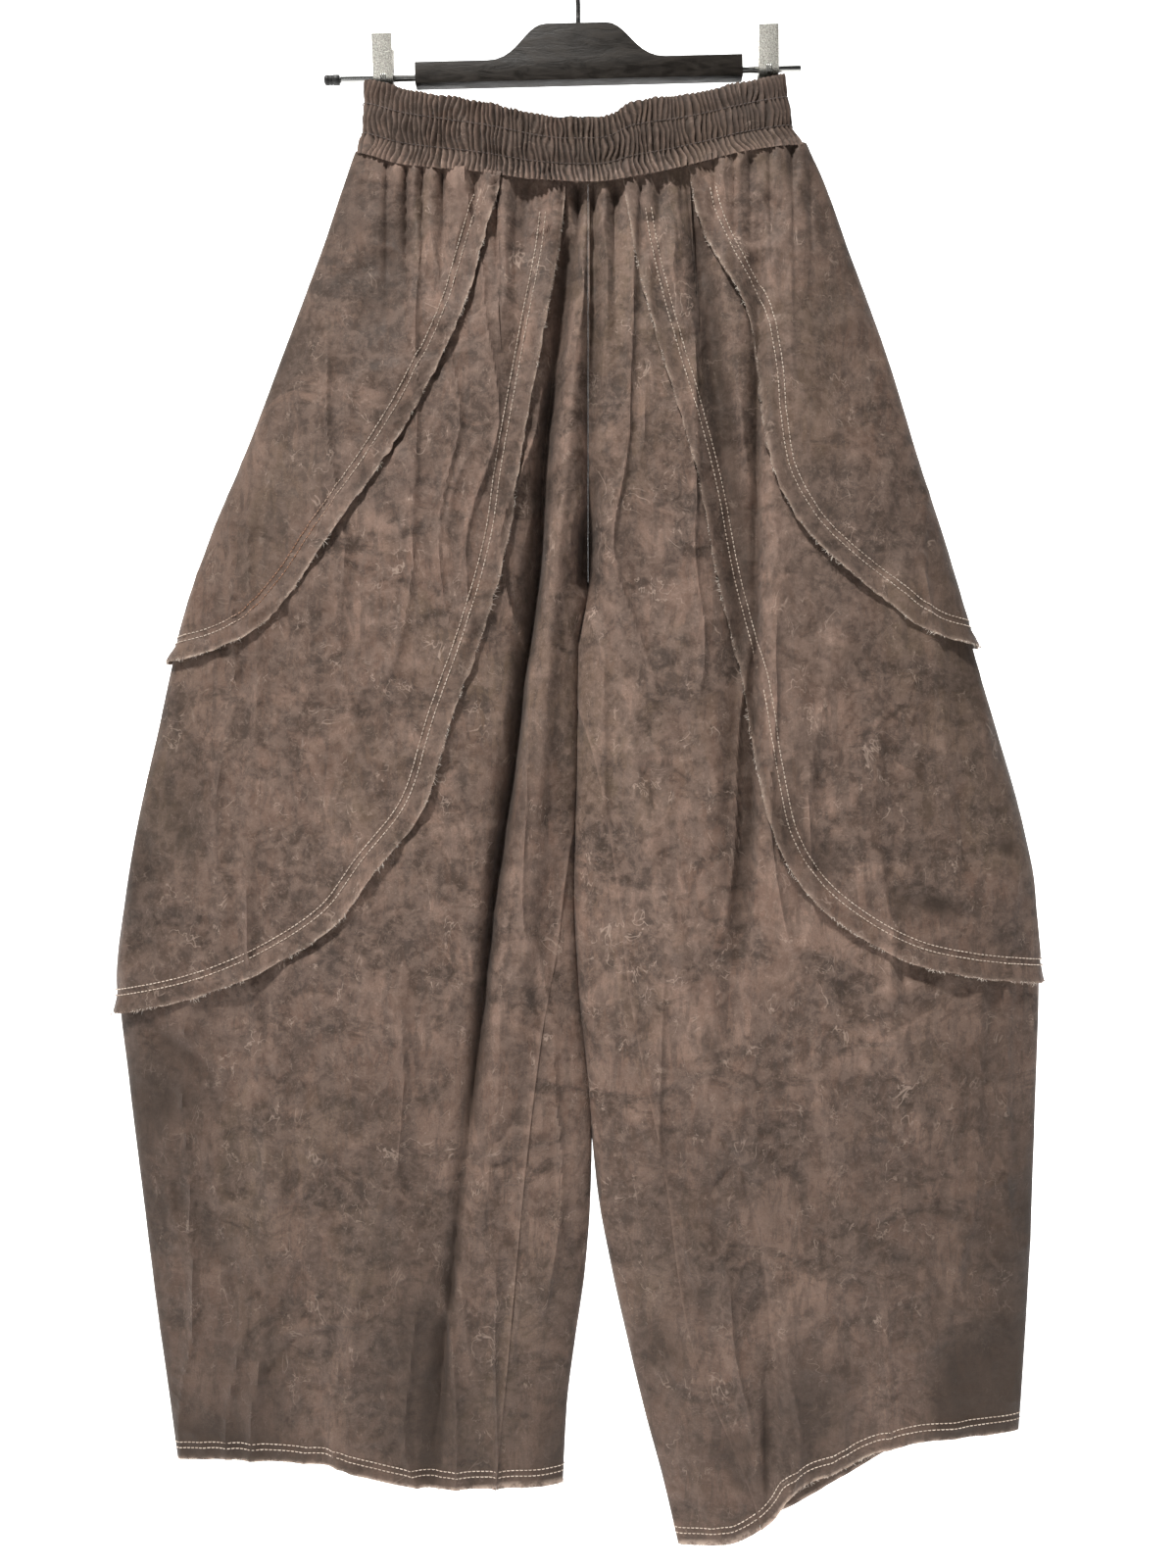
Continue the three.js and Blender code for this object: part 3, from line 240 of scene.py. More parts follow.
CREASES_BACK = {
    "left_seat": (-2.2, 10, 14, 0, [(-60, 330), (-40, 400), (-12, 455)]),
    "left_seat_low": (-2.0, 8, 12, 0, [(-95, 420), (-60, 470), (-20, 500)]),
    "left_thigh": (2.0, 9, 13, 0.2, [(-120, 500), (-150, 580), (-160, 690)]),
    "left_side": (-1.8, 5, 7, 0, [(-310, 700), (-290, 715), (-262, 705)]),
    "left_under": (-1.8, 6, 9, 0, [(-290, 800), (-250, 815), (-215, 805)]),
    "left_knee": (1.8, 4, 5, 0.4, [(-205, 980), (-170, 1000), (-130, 995)]),
    "left_pressed": (0.7, 3, 3, 0.35, [(-190, 850), (-185, 960), (-180, 1080)]),
    "right_seat": (-2.4, 12, 10, 0, [(75, 340), (52, 410), (20, 462)]),
    "right_seat_low": (-1.8, 8, 12, 0, [(110, 430), (74, 480), (30, 505)]),
    "right_thigh": (1.8, 12, 9, 0.2, [(150, 470), (176, 570), (190, 660)]),
    "right_side": (-1.8, 5, 7, 0, [(308, 680), (288, 700), (262, 696)]),
    "right_under": (-2.0, 6, 9, 0, [(285, 775), (245, 800), (205, 790)]),
    "right_low": (-1.8, 7, 8, 0, [(120, 930), (150, 960), (196, 975)]),
    "right_pressed": (0.7, 3, 3, 0.35, [(205, 830), (212, 940), (222, 1075)]),
}

# Dark stains: x, drop, radius, strength; on the front, the one at x 252, drop 703 is painted shade of
# small folds
STAINS_AND_FOLD_SHADE_FRONT = [
    (147, 643, 16, 0.7), (167, 671, 14, 0.6), (252, 703, 9, 0.7), (222, 706, 8, 0.5),
    (300, 662, 8, 0.6), (85, 972, 12, 0.4), (60, 1010, 16, 0.3), (-40, 640, 22, 0.3),
    (110, 1090, 20, 0.3),
]
STAINS_BACK = [(-150, 700, 40, 0.4), (180, 560, 34, 0.4), (230, 950, 50, 0.35), (-240, 950, 50, 0.3)]

# The grid, for the front (False) and the back (True): the solids' columns in the leg, thigh and hip
# panels, what each is divided into, and a row's height
COLUMNS = {False: (4, 5, 15), True: (3, 3, 10)}
REFINE = {False: 7, True: 6}
ROW_STEP = {False: 4.0, True: 5.5}
HEM_SPREAD = 1.9
WAIST_SPREAD = 0.6
HIP_ROW_SHARE = 0.4
FLAP_ROWS = 8

# Relief finer or stronger than the solids': the gathers below the waist seam, with how far down they
# reach and how soon the seam pinches them, and the creases and the rumpled cloth between them
GATHER_PITCH = 15
GATHER_RISE = 9
GATHER_REACH = 42
GATHER_PINCH = 6
CREASE_SCALE = 1.6
CREASE_SAMPLES = 60
RUMPLE_RISE = 2.4
HANG_RISE = 4.2

# Where the back reads the noise, so that it isn't creased as the front is
BACK_SEED = 60

# Painted shade: how dark the cloth is at its sides, low on the legs and in hollows; how pale on its crests
SIDE_SHADE = 0.7
LOW_SHADE = 0.95
LOW_SHADE_START = 740
LOW_SHADE_SPAN = 400
HOLLOW_SHADE = 0.7
HOLLOW_START = 1.2
HOLLOW_SPAN = 8.5
CREST_PALE = 0.5

# Topstitching and raw edges
STITCH_PITCH = 3.1
STITCH_LENGTH = 2.6
SEAM_STITCHES = (12.6, 16.8)
HEM_STITCHES = (8.5, 12.6)
THREAD_RADIUS = 0.36
STITCH_BOW = 0.36
STITCH_DIVE = 0.35
STITCHES_MIDDLE = sum(SEAM_STITCHES) / 2
# How far from a raw edge its distance is measured, in how many places at once, and what stands for
# a place that is farther off
SEAM_REACH = 40
PLACES_AT_ONCE = 8000
FAR = 99.0
# How high a seam's flap stands beyond its stitches, how far that waves and ripples, and what the
# stitches draw in
FLAP_LIFT = 2.6
FLAP_WAVE = 2.2
FLAP_RIPPLE = 0.9
GROOVE_DEPTH = 0.5
PUCKER_RISE = 0.75
FRAY_PITCH = 1.1
SEAM_FRAY = 3.2
HEM_FRAY = 3.8

# The stretch of one seam that is sewn in rust-brown thread: drops, and how fast it starts and ends
RUSTY_PANEL = "front_left_hip"
RUST_START, RUST_FADE_IN = 400, 40
RUST_END, RUST_FADE_OUT = 505, 12

# Where the right leg's lapped fold hides the front's stitches: from x to x, from drop to drop
HIDDEN_STITCHES = [(117, 132, 330, 402), (104, 128, 535, 652)]

# The waistband: share of its height, left end, right end
BAND_ENDS = [(0, -152, 147), (0.7, -154, 153), (1, -155, 157)]
# x, drop of its top edge
BAND_TOP_FRONT = [
    (-152, 115), (-120, 125), (-62, 136), (-7, 147), (17, 146), (40, 134), (76, 129), (111, 121),
    (157, 109),
]
BAND_TOP_BACK = [(-152, 115), (-62, 131), (-7, 135), (22, 135), (76, 126), (157, 109)]
BAND_GATHERS = 84
BAND_STEPS = 6
BAND_ROWS = 24
BAND_ROOM = 2
BAND_OVERLAP = 2.5
# The shares of its height at which its two channels are sewn
BAND_STITCHES = (0.31, 0.7)
# share of its height, how far it bulges, how deep its gathers are
BAND_FORM = [
    (0, -0.4, 0.8), (0.06, 0.3, 1.0), (0.16, 0.5, 1.1), (0.29, 0.1, 0.9), (0.31, -0.1, 0.8),
    (0.33, 0.1, 0.9), (0.5, 0.7, 1.15), (0.67, 0.2, 0.9), (0.7, -0.4, 0.6), (0.73, 0.0, 0.9),
    (0.85, 1.6, 1.7), (0.95, 3.6, 1.4), (1, 4.2, 1.1),
]

# The hanger, round the rod's middle, before it is tilted
HANGER_MIDDLE = np.array([1.0, 0.0, -109.0])
HANGER_TILT = math.radians(1.4)
ROD = {"left": -171, "right": 158, "radius": 2.25}
CAP = {"right": -171.3, "length": 11, "radius": 3.6, "grip_rings": (3.2, 5.4), "grip_depth": 0.35}
HOOK_WIRE = 1.75
HOOK_BEND = 19
HOOK_FOOT = (0, -74.6)
HOOK_STEM = [(0, -62), (0, -50), (4, -41), (13, -31.5)]
HOOK_TURNS = range(0, 211, 30)
SPRING = {"turns": 3, "radius": 4.4, "wire": 0.45, "width": 4.4}
CLIP_CENTRES = {"left": -140, "right": 135}
PLATE_BEVEL = 0.25
BAR_BEVEL = 0.9

# The stage, and the photograph's camera, level with the garment's middle
FLOOR_DROP = 1320
FLOOR_BRIGHTENS = (-1.6, 0.25)
WORLD_STRENGTH = 0.06
LIGHT_TARGET = (0, 0, -0.6)
CAMERA_X = 7
CAMERA_DROP = 616
CAMERA_DISTANCE = 1150
FRAME_HEIGHT = 1120
SENSOR = 36

rng = np.random.default_rng(11)
LATTICE = rng.uniform(-1, 1, (256, 256))


def noise(x, y=0.0):
    """Smooth noise from -1 to 1 on a fixed lattice."""
    x, y = np.broadcast_arrays(np.asarray(x, float), np.asarray(y, float))
    i, j = np.floor(x).astype(int), np.floor(y).astype(int)
    u, v = x - i, y - j
    u, v = u * u * (3 - 2 * u), v * v * (3 - 2 * v)

    def corner(a, b):
        return LATTICE[(i + a) % 256, (j + b) % 256]

    low = corner(0, 0) * (1 - u) + corner(1, 0) * u
    high = corner(0, 1) * (1 - u) + corner(1, 1) * u
    return low * (1 - v) + high * v


def fractal(x, y):
    """Three octaves of noise."""
    total, size = 0, 1.0
    for k in range(3):
        total = total + size * noise(x * 2**k + 17 * k, y * 2**k + 31 * k)
        size *= 0.5
    return total


def curve(rows, value=1):
    """Reads a column of a table at a place, along a curve that never overshoots its rows."""
    at = np.array([row[0] for row in rows], float)
    known = np.array([row[value] for row in rows], float)
    slope = np.diff(known) / np.diff(at)
    tangent = np.concatenate([slope[:1], np.zeros(len(at) - 2), slope[-1:]])
    before, after = slope[:-1], slope[1:]
    same = before * after > 0
    tangent[1:-1][same] = 2 * before[same] * after[same] / (before[same] + after[same])

    def read(place):
        p = np.clip(place, at[0], at[-1])
        i = np.clip(np.searchsorted(at, p, side="right") - 1, 0, len(at) - 2)
        span = at[i + 1] - at[i]
        t = (p - at[i]) / span
        u = 1 - t
        ends = known[i] * (1 + 2 * t) * u * u + known[i + 1] * t * t * (3 - 2 * t)
        return ends + span * t * u * (tangent[i] * u - tangent[i + 1] * t)

    return read


def unit(v):
    return v / np.maximum(np.linalg.norm(v, axis=-1, keepdims=True), 1e-9)


def lengths_along(line):
    """How far along a line of points each of them lies."""
    return np.concatenate([[0], np.cumsum(np.linalg.norm(np.diff(line, axis=0), axis=1))])


def sampled(table, along, at):
    """A table's columns, read at places along its rows."""
    return np.column_stack([np.interp(at, along, column) for column in table.T])


def smooth_line(points, samples=400):
    """Even samples of a centripetal curve through points, and its length."""
    p = np.array(points, float)
    p = np.vstack([2 * p[0] - p[1], p, 2 * p[-1] - p[-2]])
    stretch = []
    t = np.linspace(0, 1, 30, endpoint=False)[:, None]
    for i in range(1, len(p) - 2):
        gaps = [math.sqrt(np.linalg.norm(p[i + k] - p[i + k - 1])) for k in (0, 1, 2)]
        middle = (p[i + 1] - p[i]) / gaps[1]
        start = (p[i] - p[i - 1]) / gaps[0] - (p[i + 1] - p[i - 1]) / (gaps[0] + gaps[1]) + middle
        end = middle - (p[i + 2] - p[i]) / (gaps[1] + gaps[2]) + (p[i + 2] - p[i + 1]) / gaps[2]
        start, end = start * gaps[1], end * gaps[1]
        rise = p[i + 1] - p[i]
        square, cube = 3 * rise - 2 * start - end, start + end - 2 * rise
        stretch.append(p[i] + start * t + square * t**2 + cube * t**3)
    fine = np.vstack(stretch + [p[-2:-1]])
    along = lengths_along(fine)
    return sampled(fine, along, np.linspace(0, along[-1], samples)), along[-1]


depth_front, depth_back = curve(DEPTH, 1), curve(DEPTH, 2)
waist_front, waist_back = curve(WAIST_SEAM_FRONT), curve(WAIST_SEAM_BACK)
band_top_front, band_top_back = curve(BAND_TOP_FRONT), curve(BAND_TOP_BACK)
band_left, band_right = curve(BAND_ENDS, 1), curve(BAND_ENDS, 2)
band_bulge, band_gathers = curve(BAND_FORM, 1), curve(BAND_FORM, 2)


def make_fold(rows):
    """A fold's relief, as a function of x and drop."""
    readers = [curve(rows, k) for k in (1, 2, 3, 4)]
    first, last = rows[0][0], rows[-1][0]

    def fold(px, drop):
        x, rise, left, right = (read(drop) for read in readers)
        past = np.maximum(np.maximum(first - drop, drop - last), 0) / FOLD_FADE
        away = px - x
        width = np.where(away < 0, left, right)
        return np.clip(1 - past, 0, 1) * rise * np.exp(-((away / width) ** 2))

    return fold


FOLDS = {
    False: [make_fold(rows) for rows in FOLDS_FRONT.values()],
    True: [make_fold(rows) for rows in FOLDS_BACK.values()],
}
CREASES = {False: CREASES_FRONT, True: CREASES_BACK}
STAINS_AND_FOLD_SHADE = {False: STAINS_AND_FOLD_SHADE_FRONT, True: STAINS_BACK}


def below_waist(x, drop, back):
    """How far below the waist seam each place is."""
    waist = waist_back if back else waist_front
    return np.maximum(drop - waist(x), 0)


def large_relief(x, drop, back):
    """The solids' folds and the gathers below the waist seam."""
    below = below_waist(x, drop, back)
    fade = np.exp(-below / GATHER_REACH) * (1 - 0.75 * np.exp(-below / GATHER_PINCH))
    wander = 0.8 * np.sin(x / 23) + 0.5 * np.sin(x / 9)
    flute = np.abs(np.sin(np.pi * x / GATHER_PITCH + wander)) ** 0.7
    total = GATHER_RISE * fade * (flute - 0.62) * (1 + 0.7 * noise(x / 31 + 3, 5))
    for fold in FOLDS[back]:
        total = total + fold(x, drop)
    return total


def crease_shape(x, drop, crease):
    """A crease's height at each place, from 0 to 1, with a sharp crest that dies away at its ends."""
    _, left, right, _, points = crease
    reach = 4 * max(left, right)
    p = np.array(points, float)
    low, high = p.min(0) - reach, p.max(0) + reach
    near = np.flatnonzero((x > low[0]) & (x < high[0]) & (drop > low[1]) & (drop < high[1]))
    shape = np.zeros_like(x)
    if not len(near):
        return shape
    line, length = smooth_line(points, CREASE_SAMPLES)
    step = length / (CREASE_SAMPLES - 1)
    q = np.column_stack([x[near], drop[near]])
    gap = q[:, None, :] - line[None, :, :]
    nearest = np.hypot(gap[..., 0], gap[..., 1]).argmin(1)
    tangent = unit(np.gradient(line, axis=0))[nearest]
    gap = gap[np.arange(len(near)), nearest]
    on_left = tangent[:, 0] * gap[:, 1] - tangent[:, 1] * gap[:, 0] > 0
    slide = np.clip((tangent * gap).sum(1), -step / 2, step / 2)
    gap = gap - tangent * slide[:, None]
    d = np.hypot(gap[:, 0], gap[:, 1])
    width = np.where(on_left, left, right)
    share = nearest / (CREASE_SAMPLES - 1)
    ends = np.sqrt(np.clip(np.minimum(share, 1 - share) * 3.2 + 0.04, 0, 1))
    shape[near] = ends * np.exp(-((d / width) ** 1.4))
    return shape


def fine_relief(x, drop, back):
    """Creases, small gathers and the rumpled cloth between them, and how pale they are worn."""
    below = below_waist(x, drop, back)
    seed = BACK_SEED if back else 0
    narrow = np.exp(-below / 22) * (1 - 0.7 * np.exp(-below / 5))
    wide = np.exp(-below / 60) * (1 - np.exp(-below / 8))
    gathers = 3.0 * noise(x / 5.6 + seed, below / 60) * narrow
    gathers = gathers + 3.6 * noise(x / 12 + seed, below / 110) * wide
    warp = 14 * noise(x / 70 + seed, drop / 90)
    ridged = 1 - np.abs(noise((x + warp) / 34 + seed, (drop - warp) / 52))
    rumple = RUMPLE_RISE * (ridged**5 - 0.25)
    hang = 1 - np.abs(noise((x + warp) / 26 + seed + 40, drop / 210))
    rumple = rumple + HANG_RISE * (hang**6 - 0.2)
    fine = 0.7 * fractal(x / 18 + seed, drop / 24)
    total = gathers + rumple + fine
    pale = np.clip(ridged**9, 0, 1) * 0.18 + 0.55 * np.exp(-below / 3.5)
    for crease in CREASES[back].values():
        shape = crease_shape(x, drop, crease)
        total = total + CREASE_SCALE * crease[0] * shape
        pale = np.maximum(pale, crease[3] * shape**3)
    return total, pale


def stains_and_fold_shade(x, drop, back):
    """How dark the cloth's stains, and the painted shade of small folds on the front, make it."""
    seed = BACK_SEED if back else 0
    ragged = 1 + 0.5 * fractal(x / 14 + seed, drop / 14)
    total = np.zeros_like(x)
    for cx, cd, radius, strength in STAINS_AND_FOLD_SHADE[back]:
        away = np.hypot(x - cx, drop - cd) / (radius * ragged.clip(0.3))
        total = np.maximum(total, strength * np.exp(-(away**2.5)))
    return total


class Half:
    """One half of the garment: its silhouette, inseam, hems and lapped seams' edges."""

    def __init__(self, side, outer, inner, inseam, hem_front, hem_back, hip_edge, thigh_edge):
        self.side = side
        self.sign = -1 if side == "left" else 1
        self.outer = curve(outer)
        self.inner_line = curve(inner)
        self.inseam_x = curve(inseam)
        self.first_inseam = inseam[0][0]
        self.hem_front = curve(hem_front)
        self.hem_back = curve(hem_back)
        self.edges = {"hip": hip_edge, "thigh": thigh_edge}

    def inner(self, drop):
        """The inner edge's x: the centre seam down to the crotch, and the leg's own edge below it."""
        gap = np.where(drop > CROTCH_DROP - 1, LEG_GAP, CENTRE_GAP)
        return self.inner_line(drop) + self.sign * gap / 2

    def share_at(self, x, drop):
        inner = self.inner(drop)
        return (x - inner) / (self.outer(drop) - inner)

    def angle_at(self, across, drop, back):
        """The inseam's wandering onto the front moves only the points near it."""
        share = np.maximum(self.share_at(self.inseam_x(drop), drop), 0)
        wander = np.where(drop <= self.first_inseam, 0, np.pi - angle_of(share))
        hold = np.minimum(INSEAM_HOLD_POWER, INSEAM_HOLD_TURN / np.maximum(wander, 0.01))
        shift = wander * (1 - across) ** hold
        turn = 1 + across if back else 1 - across
        return np.pi * turn - shift

    def across_of(self, share, drop, back):
        """How far across a panel a share of the silhouette lies, found by halving."""
        wanted = angle_of(share)
        wanted = 2 * np.pi - wanted if back else wanted
        low, high = np.zeros_like(wanted), np.ones_like(wanted)
        for _ in range(40):
            middle = (low + high) / 2
            past = self.angle_at(middle, drop, back) > wanted
            move_high = past == back
            high = np.where(move_high, middle, high)
            low = np.where(move_high, low, middle)
        return (low + high) / 2

    def ring_x(self, angle, drop):
        share = (1 + np.cos(angle)) / 2
        inner = self.inner(drop)
        return inner + (self.outer(drop) - inner) * share

    def room_at(self, angle, drop, back):
        """The cloth's distance from the hanger's plane: one hollow at the hips, one for each leg below."""
        share = (1 + np.cos(angle)) / 2
        depth = np.where(back, depth_back(drop), depth_front(drop))
        down = np.clip((drop - WAIST_DROP) / (CROTCH_DROP - WAIST_DROP), 0, 1)
        joined = (1 - down**RISE_CURVE) ** RING_POWER
        hip = np.maximum(1 - share * share, 0) ** (RING_POWER / 2)
        leg = (2 * np.sqrt(np.maximum(share * (1 - share), 0))) ** RING_POWER
        return depth * (joined * hip + (1 - joined) * leg)

    def ring_xy(self, angle, drop):
        behind = (angle < 0) | ((angle > np.pi) & (angle <= 2 * np.pi))
        y = np.where(behind, 1, -1) * self.room_at(angle, drop, behind)
        return np.stack([self.ring_x(angle, drop), y], -1)

    def cloth(self, across, drop, back, height):
        """Points at a height over the cloth, how pale it is, and how dark with stains and painted shade.
        """
        across, drop = np.broadcast_arrays(np.asarray(across, float), np.asarray(drop, float))
        shape = across.shape
        across, drop = across.ravel(), drop.ravel()
        height = np.broadcast_to(height, shape).ravel()
        angle = self.angle_at(across, drop, back)
        at_centre = (across == 0) & (drop < CROTCH_DROP - 1)
        behind = np.where(at_centre, back, (angle < 0) | (angle > np.pi))
        x = self.ring_x(angle, drop)
        room = self.room_at(angle, drop, behind)
        relief = np.zeros_like(x)
        pale, dark = np.zeros_like(x), np.zeros_like(x)
        for side in (False, True):
            here = behind == side
            if here.any():
                relief[here] = large_relief(x[here], drop[here], side)
                dark[here] = stains_and_fold_shade(x[here], drop[here], side)
                more, pale[here] = fine_relief(x[here], drop[here], side)
                relief[here] += more
        share = (1 + np.cos(angle)) / 2
        # Painted shade: darker towards the sides, where the cloth turns from the light, low on the legs,
        # and in the hollows of its relief
        painted_shade = SIDE_SHADE * np.clip((share - 0.5) / 0.5, 0, 1) ** 1.6
        painted_shade = painted_shade + LOW_SHADE * np.clip((drop - LOW_SHADE_START) / LOW_SHADE_SPAN, 0, 1)
        painted_shade = painted_shade * (0.85 + 0.5 * noise(x / 55 + 9, drop / 75))
        hollow = HOLLOW_SHADE * np.clip((-relief - HOLLOW_START) / HOLLOW_SPAN, 0, 1)
        dark = np.clip(dark + painted_shade + hollow, 0, 1)
        pale = np.maximum(pale, CREST_PALE * np.clip((relief - 1.5) / 6, 0, 1))
        y = np.where(behind, 1, -1) * (room + relief * np.clip(room / FOLD_ROOM, 0, 1))
        step = 0.004
        along = self.ring_xy(angle + step, drop) - self.ring_xy(angle - step, drop)
        along /= np.linalg.norm(along, axis=1, keepdims=True)
        out = np.stack([-along[:, 1], along[:, 0]], -1) * self.sign
        out[at_centre] = (0, 1 if back else -1)
        point = np.stack([x, y], -1)
        shift = (1 if back else -1) * SEAM_GAP / 2 * ((across == 0).astype(float) - (across == 1))
        shift[at_centre] = 0
        point += along * shift[:, None] + out * height[:, None]
        point = np.column_stack([point, -drop]).reshape(*shape, 3)
        return point, pale.reshape(shape), dark.reshape(shape)

    def waist_place(self, share, back):
        """Places on the waist seam, whose drop depends on x."""
        waist = waist_back if back else waist_front
        drop = np.full_like(share, WAIST_DROP)
        for _ in range(8):
            drop = waist(self.ring_x(angle_of(share), drop))
        return self.across_of(share, drop, back), drop

    def hem_place(self, across, back):
        """Places on the hem, which is the front's hem up to the inseam."""
        drop = np.full_like(across, self.hem_front(0.0))
        for _ in range(8):
            angle = self.angle_at(across, drop, back)
            x = self.ring_x(angle, drop)
            drop = np.where(angle > np.pi, self.hem_back(x), self.hem_front(x))
        return across, drop


def angle_of(share):
    """A share of the silhouette's width, from the inner edge at 0, as an angle on the ring's front."""
    return np.arccos(np.clip(2 * share - 1, -1, 1))


class Seam:
    """The raw edge of a lapped seam, from the waist to the side seam."""

    def __init__(self, half, which, back):
        self.half, self.back = half, back
        rows = half.edges[which]
        self.line, self.length = smooth_line(rows)
        self.tangent = unit(np.gradient(self.line, axis=0))
        self.start_share = float(half.share_at(np.array(rows[0][0]), np.array(rows[0][1])))

    def at(self, share):
        """The edge's point and its direction at a share of its length."""
        last = len(self.line) - 1
        place = np.clip(share, 0, 1) * last
        return [sampled(table, np.arange(last + 1), place) for table in (self.line, self.tangent)]

    def place(self, x, drop):
        share = np.clip(self.half.share_at(x, drop), 0, 1)
        return self.half.across_of(share, drop, self.back), drop

    def edge(self, share):
        p, _ = self.at(share)
        across, drop = self.place(p[:, 0], p[:, 1])
        return np.where(share >= 1, 1, across), drop

    def inside(self, share, distance):
        """Places at a distance from the raw edge, on the panel's own side of it."""
        p, t = self.at(share)
        x = p[:, 0] + self.half.sign * distance * t[:, 1]
        drop = p[:, 1] - self.half.sign * distance * t[:, 0]
        return self.place(x, drop)

    def under(self, share):
        """Places on the hidden upper edge of the panel that lies below this one."""
        p, t = self.at(share)
        sign = self.half.sign
        waist = self.half.waist_place(self.half.share_at(p[:, 0], p[:, 1]), self.back)[1]
        full = np.minimum(share / UNDER_EDGE["grows"], 1)
        outward = full * np.minimum((1 - share) / UNDER_EDGE["ends"], 1) * UNDERLAP * t[:, 1]
        upward = full * UNDERLAP * sign * t[:, 0]
        upward = upward + (1 - full) * (p[:, 1] - waist) * UNDER_EDGE["start"]
        drop = np.maximum(p[:, 1] - upward, waist + UNDER_EDGE["waist_room"])
        across, drop = self.place(p[:, 0] + sign * outward, drop)
        return np.where(share >= 1, 1, across), drop

    def near(self, x, drop):
        """How far each place is from the raw edge, and how far along it."""
        distance, along = np.full(x.shape, FAR), np.zeros(x.shape)
        low, high = self.line.min(0) - SEAM_REACH, self.line.max(0) + SEAM_REACH
        close = np.flatnonzero((x > low[0]) & (x < high[0]) & (drop > low[1]) & (drop < high[1]))
        for part in np.array_split(close, len(close) // PLACES_AT_ONCE + 1):
            gap = np.hypot(x[part, None] - self.line[:, 0], drop[part, None] - self.line[:, 1])
            best = gap.argmin(1)
            distance[part] = gap[np.arange(len(part)), best]
            along[part] = best / (len(self.line) - 1) * self.length
        return distance, along

    def lift(self, distance, along):
        """The height of the flap beyond the topstitching: it stands off its panel in waves."""
        free = np.clip(1 - distance / SEAM_STITCHES[0], 0, 1)
        wave = FLAP_LIFT + FLAP_WAVE * noise(along / 31 + 5 * self.half.sign)
        wave = wave + FLAP_RIPPLE * noise(along / 8.5, 3)
        return free**1.3 * np.maximum(wave, 0.4)

    def pull(self, distance, along):
        """The groove and the small puckers that the topstitching draws."""
        away = distance - STITCHES_MIDDLE
        groove = -GROOVE_DEPTH * np.exp(-((away / 3.2) ** 2))
        pucker = PUCKER_RISE * noise(along / 5.5, 9) * np.exp(-((away / 9) ** 2))
        return groove + pucker


HALVES = [
    Half("left", OUTER_LEFT, INNER_LEFT, INSEAM_LEFT, HEM_FRONT_LEFT, HEM_BACK_LEFT, HIP_EDGE_LEFT,
         THIGH_EDGE_LEFT),
    Half("right", OUTER_RIGHT, INNER_RIGHT, INSEAM_RIGHT, HEM_FRONT_RIGHT, HEM_BACK_RIGHT,
         HIP_EDGE_RIGHT, THIGH_EDGE_RIGHT),
]


def mixed(a, b, t):
    """Places a share t of the way from a to b, as rows."""
    t = np.asarray(t)[:, None]
    return a[0] + (b[0] - a[0]) * t, a[1] + (b[1] - a[1]) * t


def stacked(*blocks):
    return np.vstack([block[0] for block in blocks]), np.vstack([block[1] for block in blocks])


def columns_of(half, back):
    """The places where each column crosses the waist, both lapped seams and the hem."""
    in_leg, in_thigh, in_hip = COLUMNS[back]
    last = in_leg + in_thigh + in_hip
    j = np.arange(last * REFINE[back] + 1) / REFINE[back]
    thigh, hip = Seam(half, "thigh", back), Seam(half, "hip", back)
    first_hip = in_leg + in_thigh
    share = thigh.start_share * j / in_leg
    middle = thigh.start_share + (hip.start_share - thigh.start_share) * (j - in_leg) / in_thigh
    spread = (np.maximum(j - first_hip, 0) / in_hip) ** WAIST_SPREAD
    share = np.where(j > in_leg, middle, share)
    share = np.where(j > first_hip, hip.start_share + (1 - hip.start_share) * spread, share)
    waist = half.waist_place(share, back)
    hem = half.hem_place((j / last) ** HEM_SPREAD, back)
    thigh_share = np.maximum(j - in_leg, 0) / (last - in_leg)
    hip_share = np.maximum(j - first_hip, 0) / in_hip
    inside_leg, inside_thigh = j < in_leg, j < first_hip
    yoke = np.full_like(j, YOKE_DROP)

    def pick(condition, a, b):
        return np.where(condition, a[0], b[0]), np.where(condition, a[1], b[1])

    thigh_edge = pick(inside_leg, (waist[0], yoke), thigh.edge(thigh_share))
    thigh_under = pick(inside_leg, waist, thigh.under(thigh_share))
    hip_under = pick(inside_thigh, waist, hip.under(hip_share))
    part_way = tuple(a + (b - a) * HIP_ROW_SHARE for a, b in zip(waist, thigh_under))
    hip_edge = pick(inside_thigh, part_way, hip.edge(hip_share))
    places = {
        "waist": waist, "hip_under": hip_under, "hip_edge": hip_edge, "thigh_under": thigh_under,
        "thigh_edge": thigh_edge, "hem": hem,
    }
    return places, in_leg * REFINE[back], first_hip * REFINE[back], hip, thigh


def rows_between(a, b, back, first=True):
    """Rows from one line of places to another, as close as ROW_STEP at their widest."""
    count = max(2, int(np.ceil(np.abs(b[1] - a[1]).max() / ROW_STEP[back])))
    return mixed(a, b, np.linspace(0, 1, count + 1)[0 if first else 1:])


def placed(name, data):
    """An object in the scene."""
    thing = bpy.data.objects.new(name, data)
    bpy.context.scene.collection.objects.link(thing)
    return thing


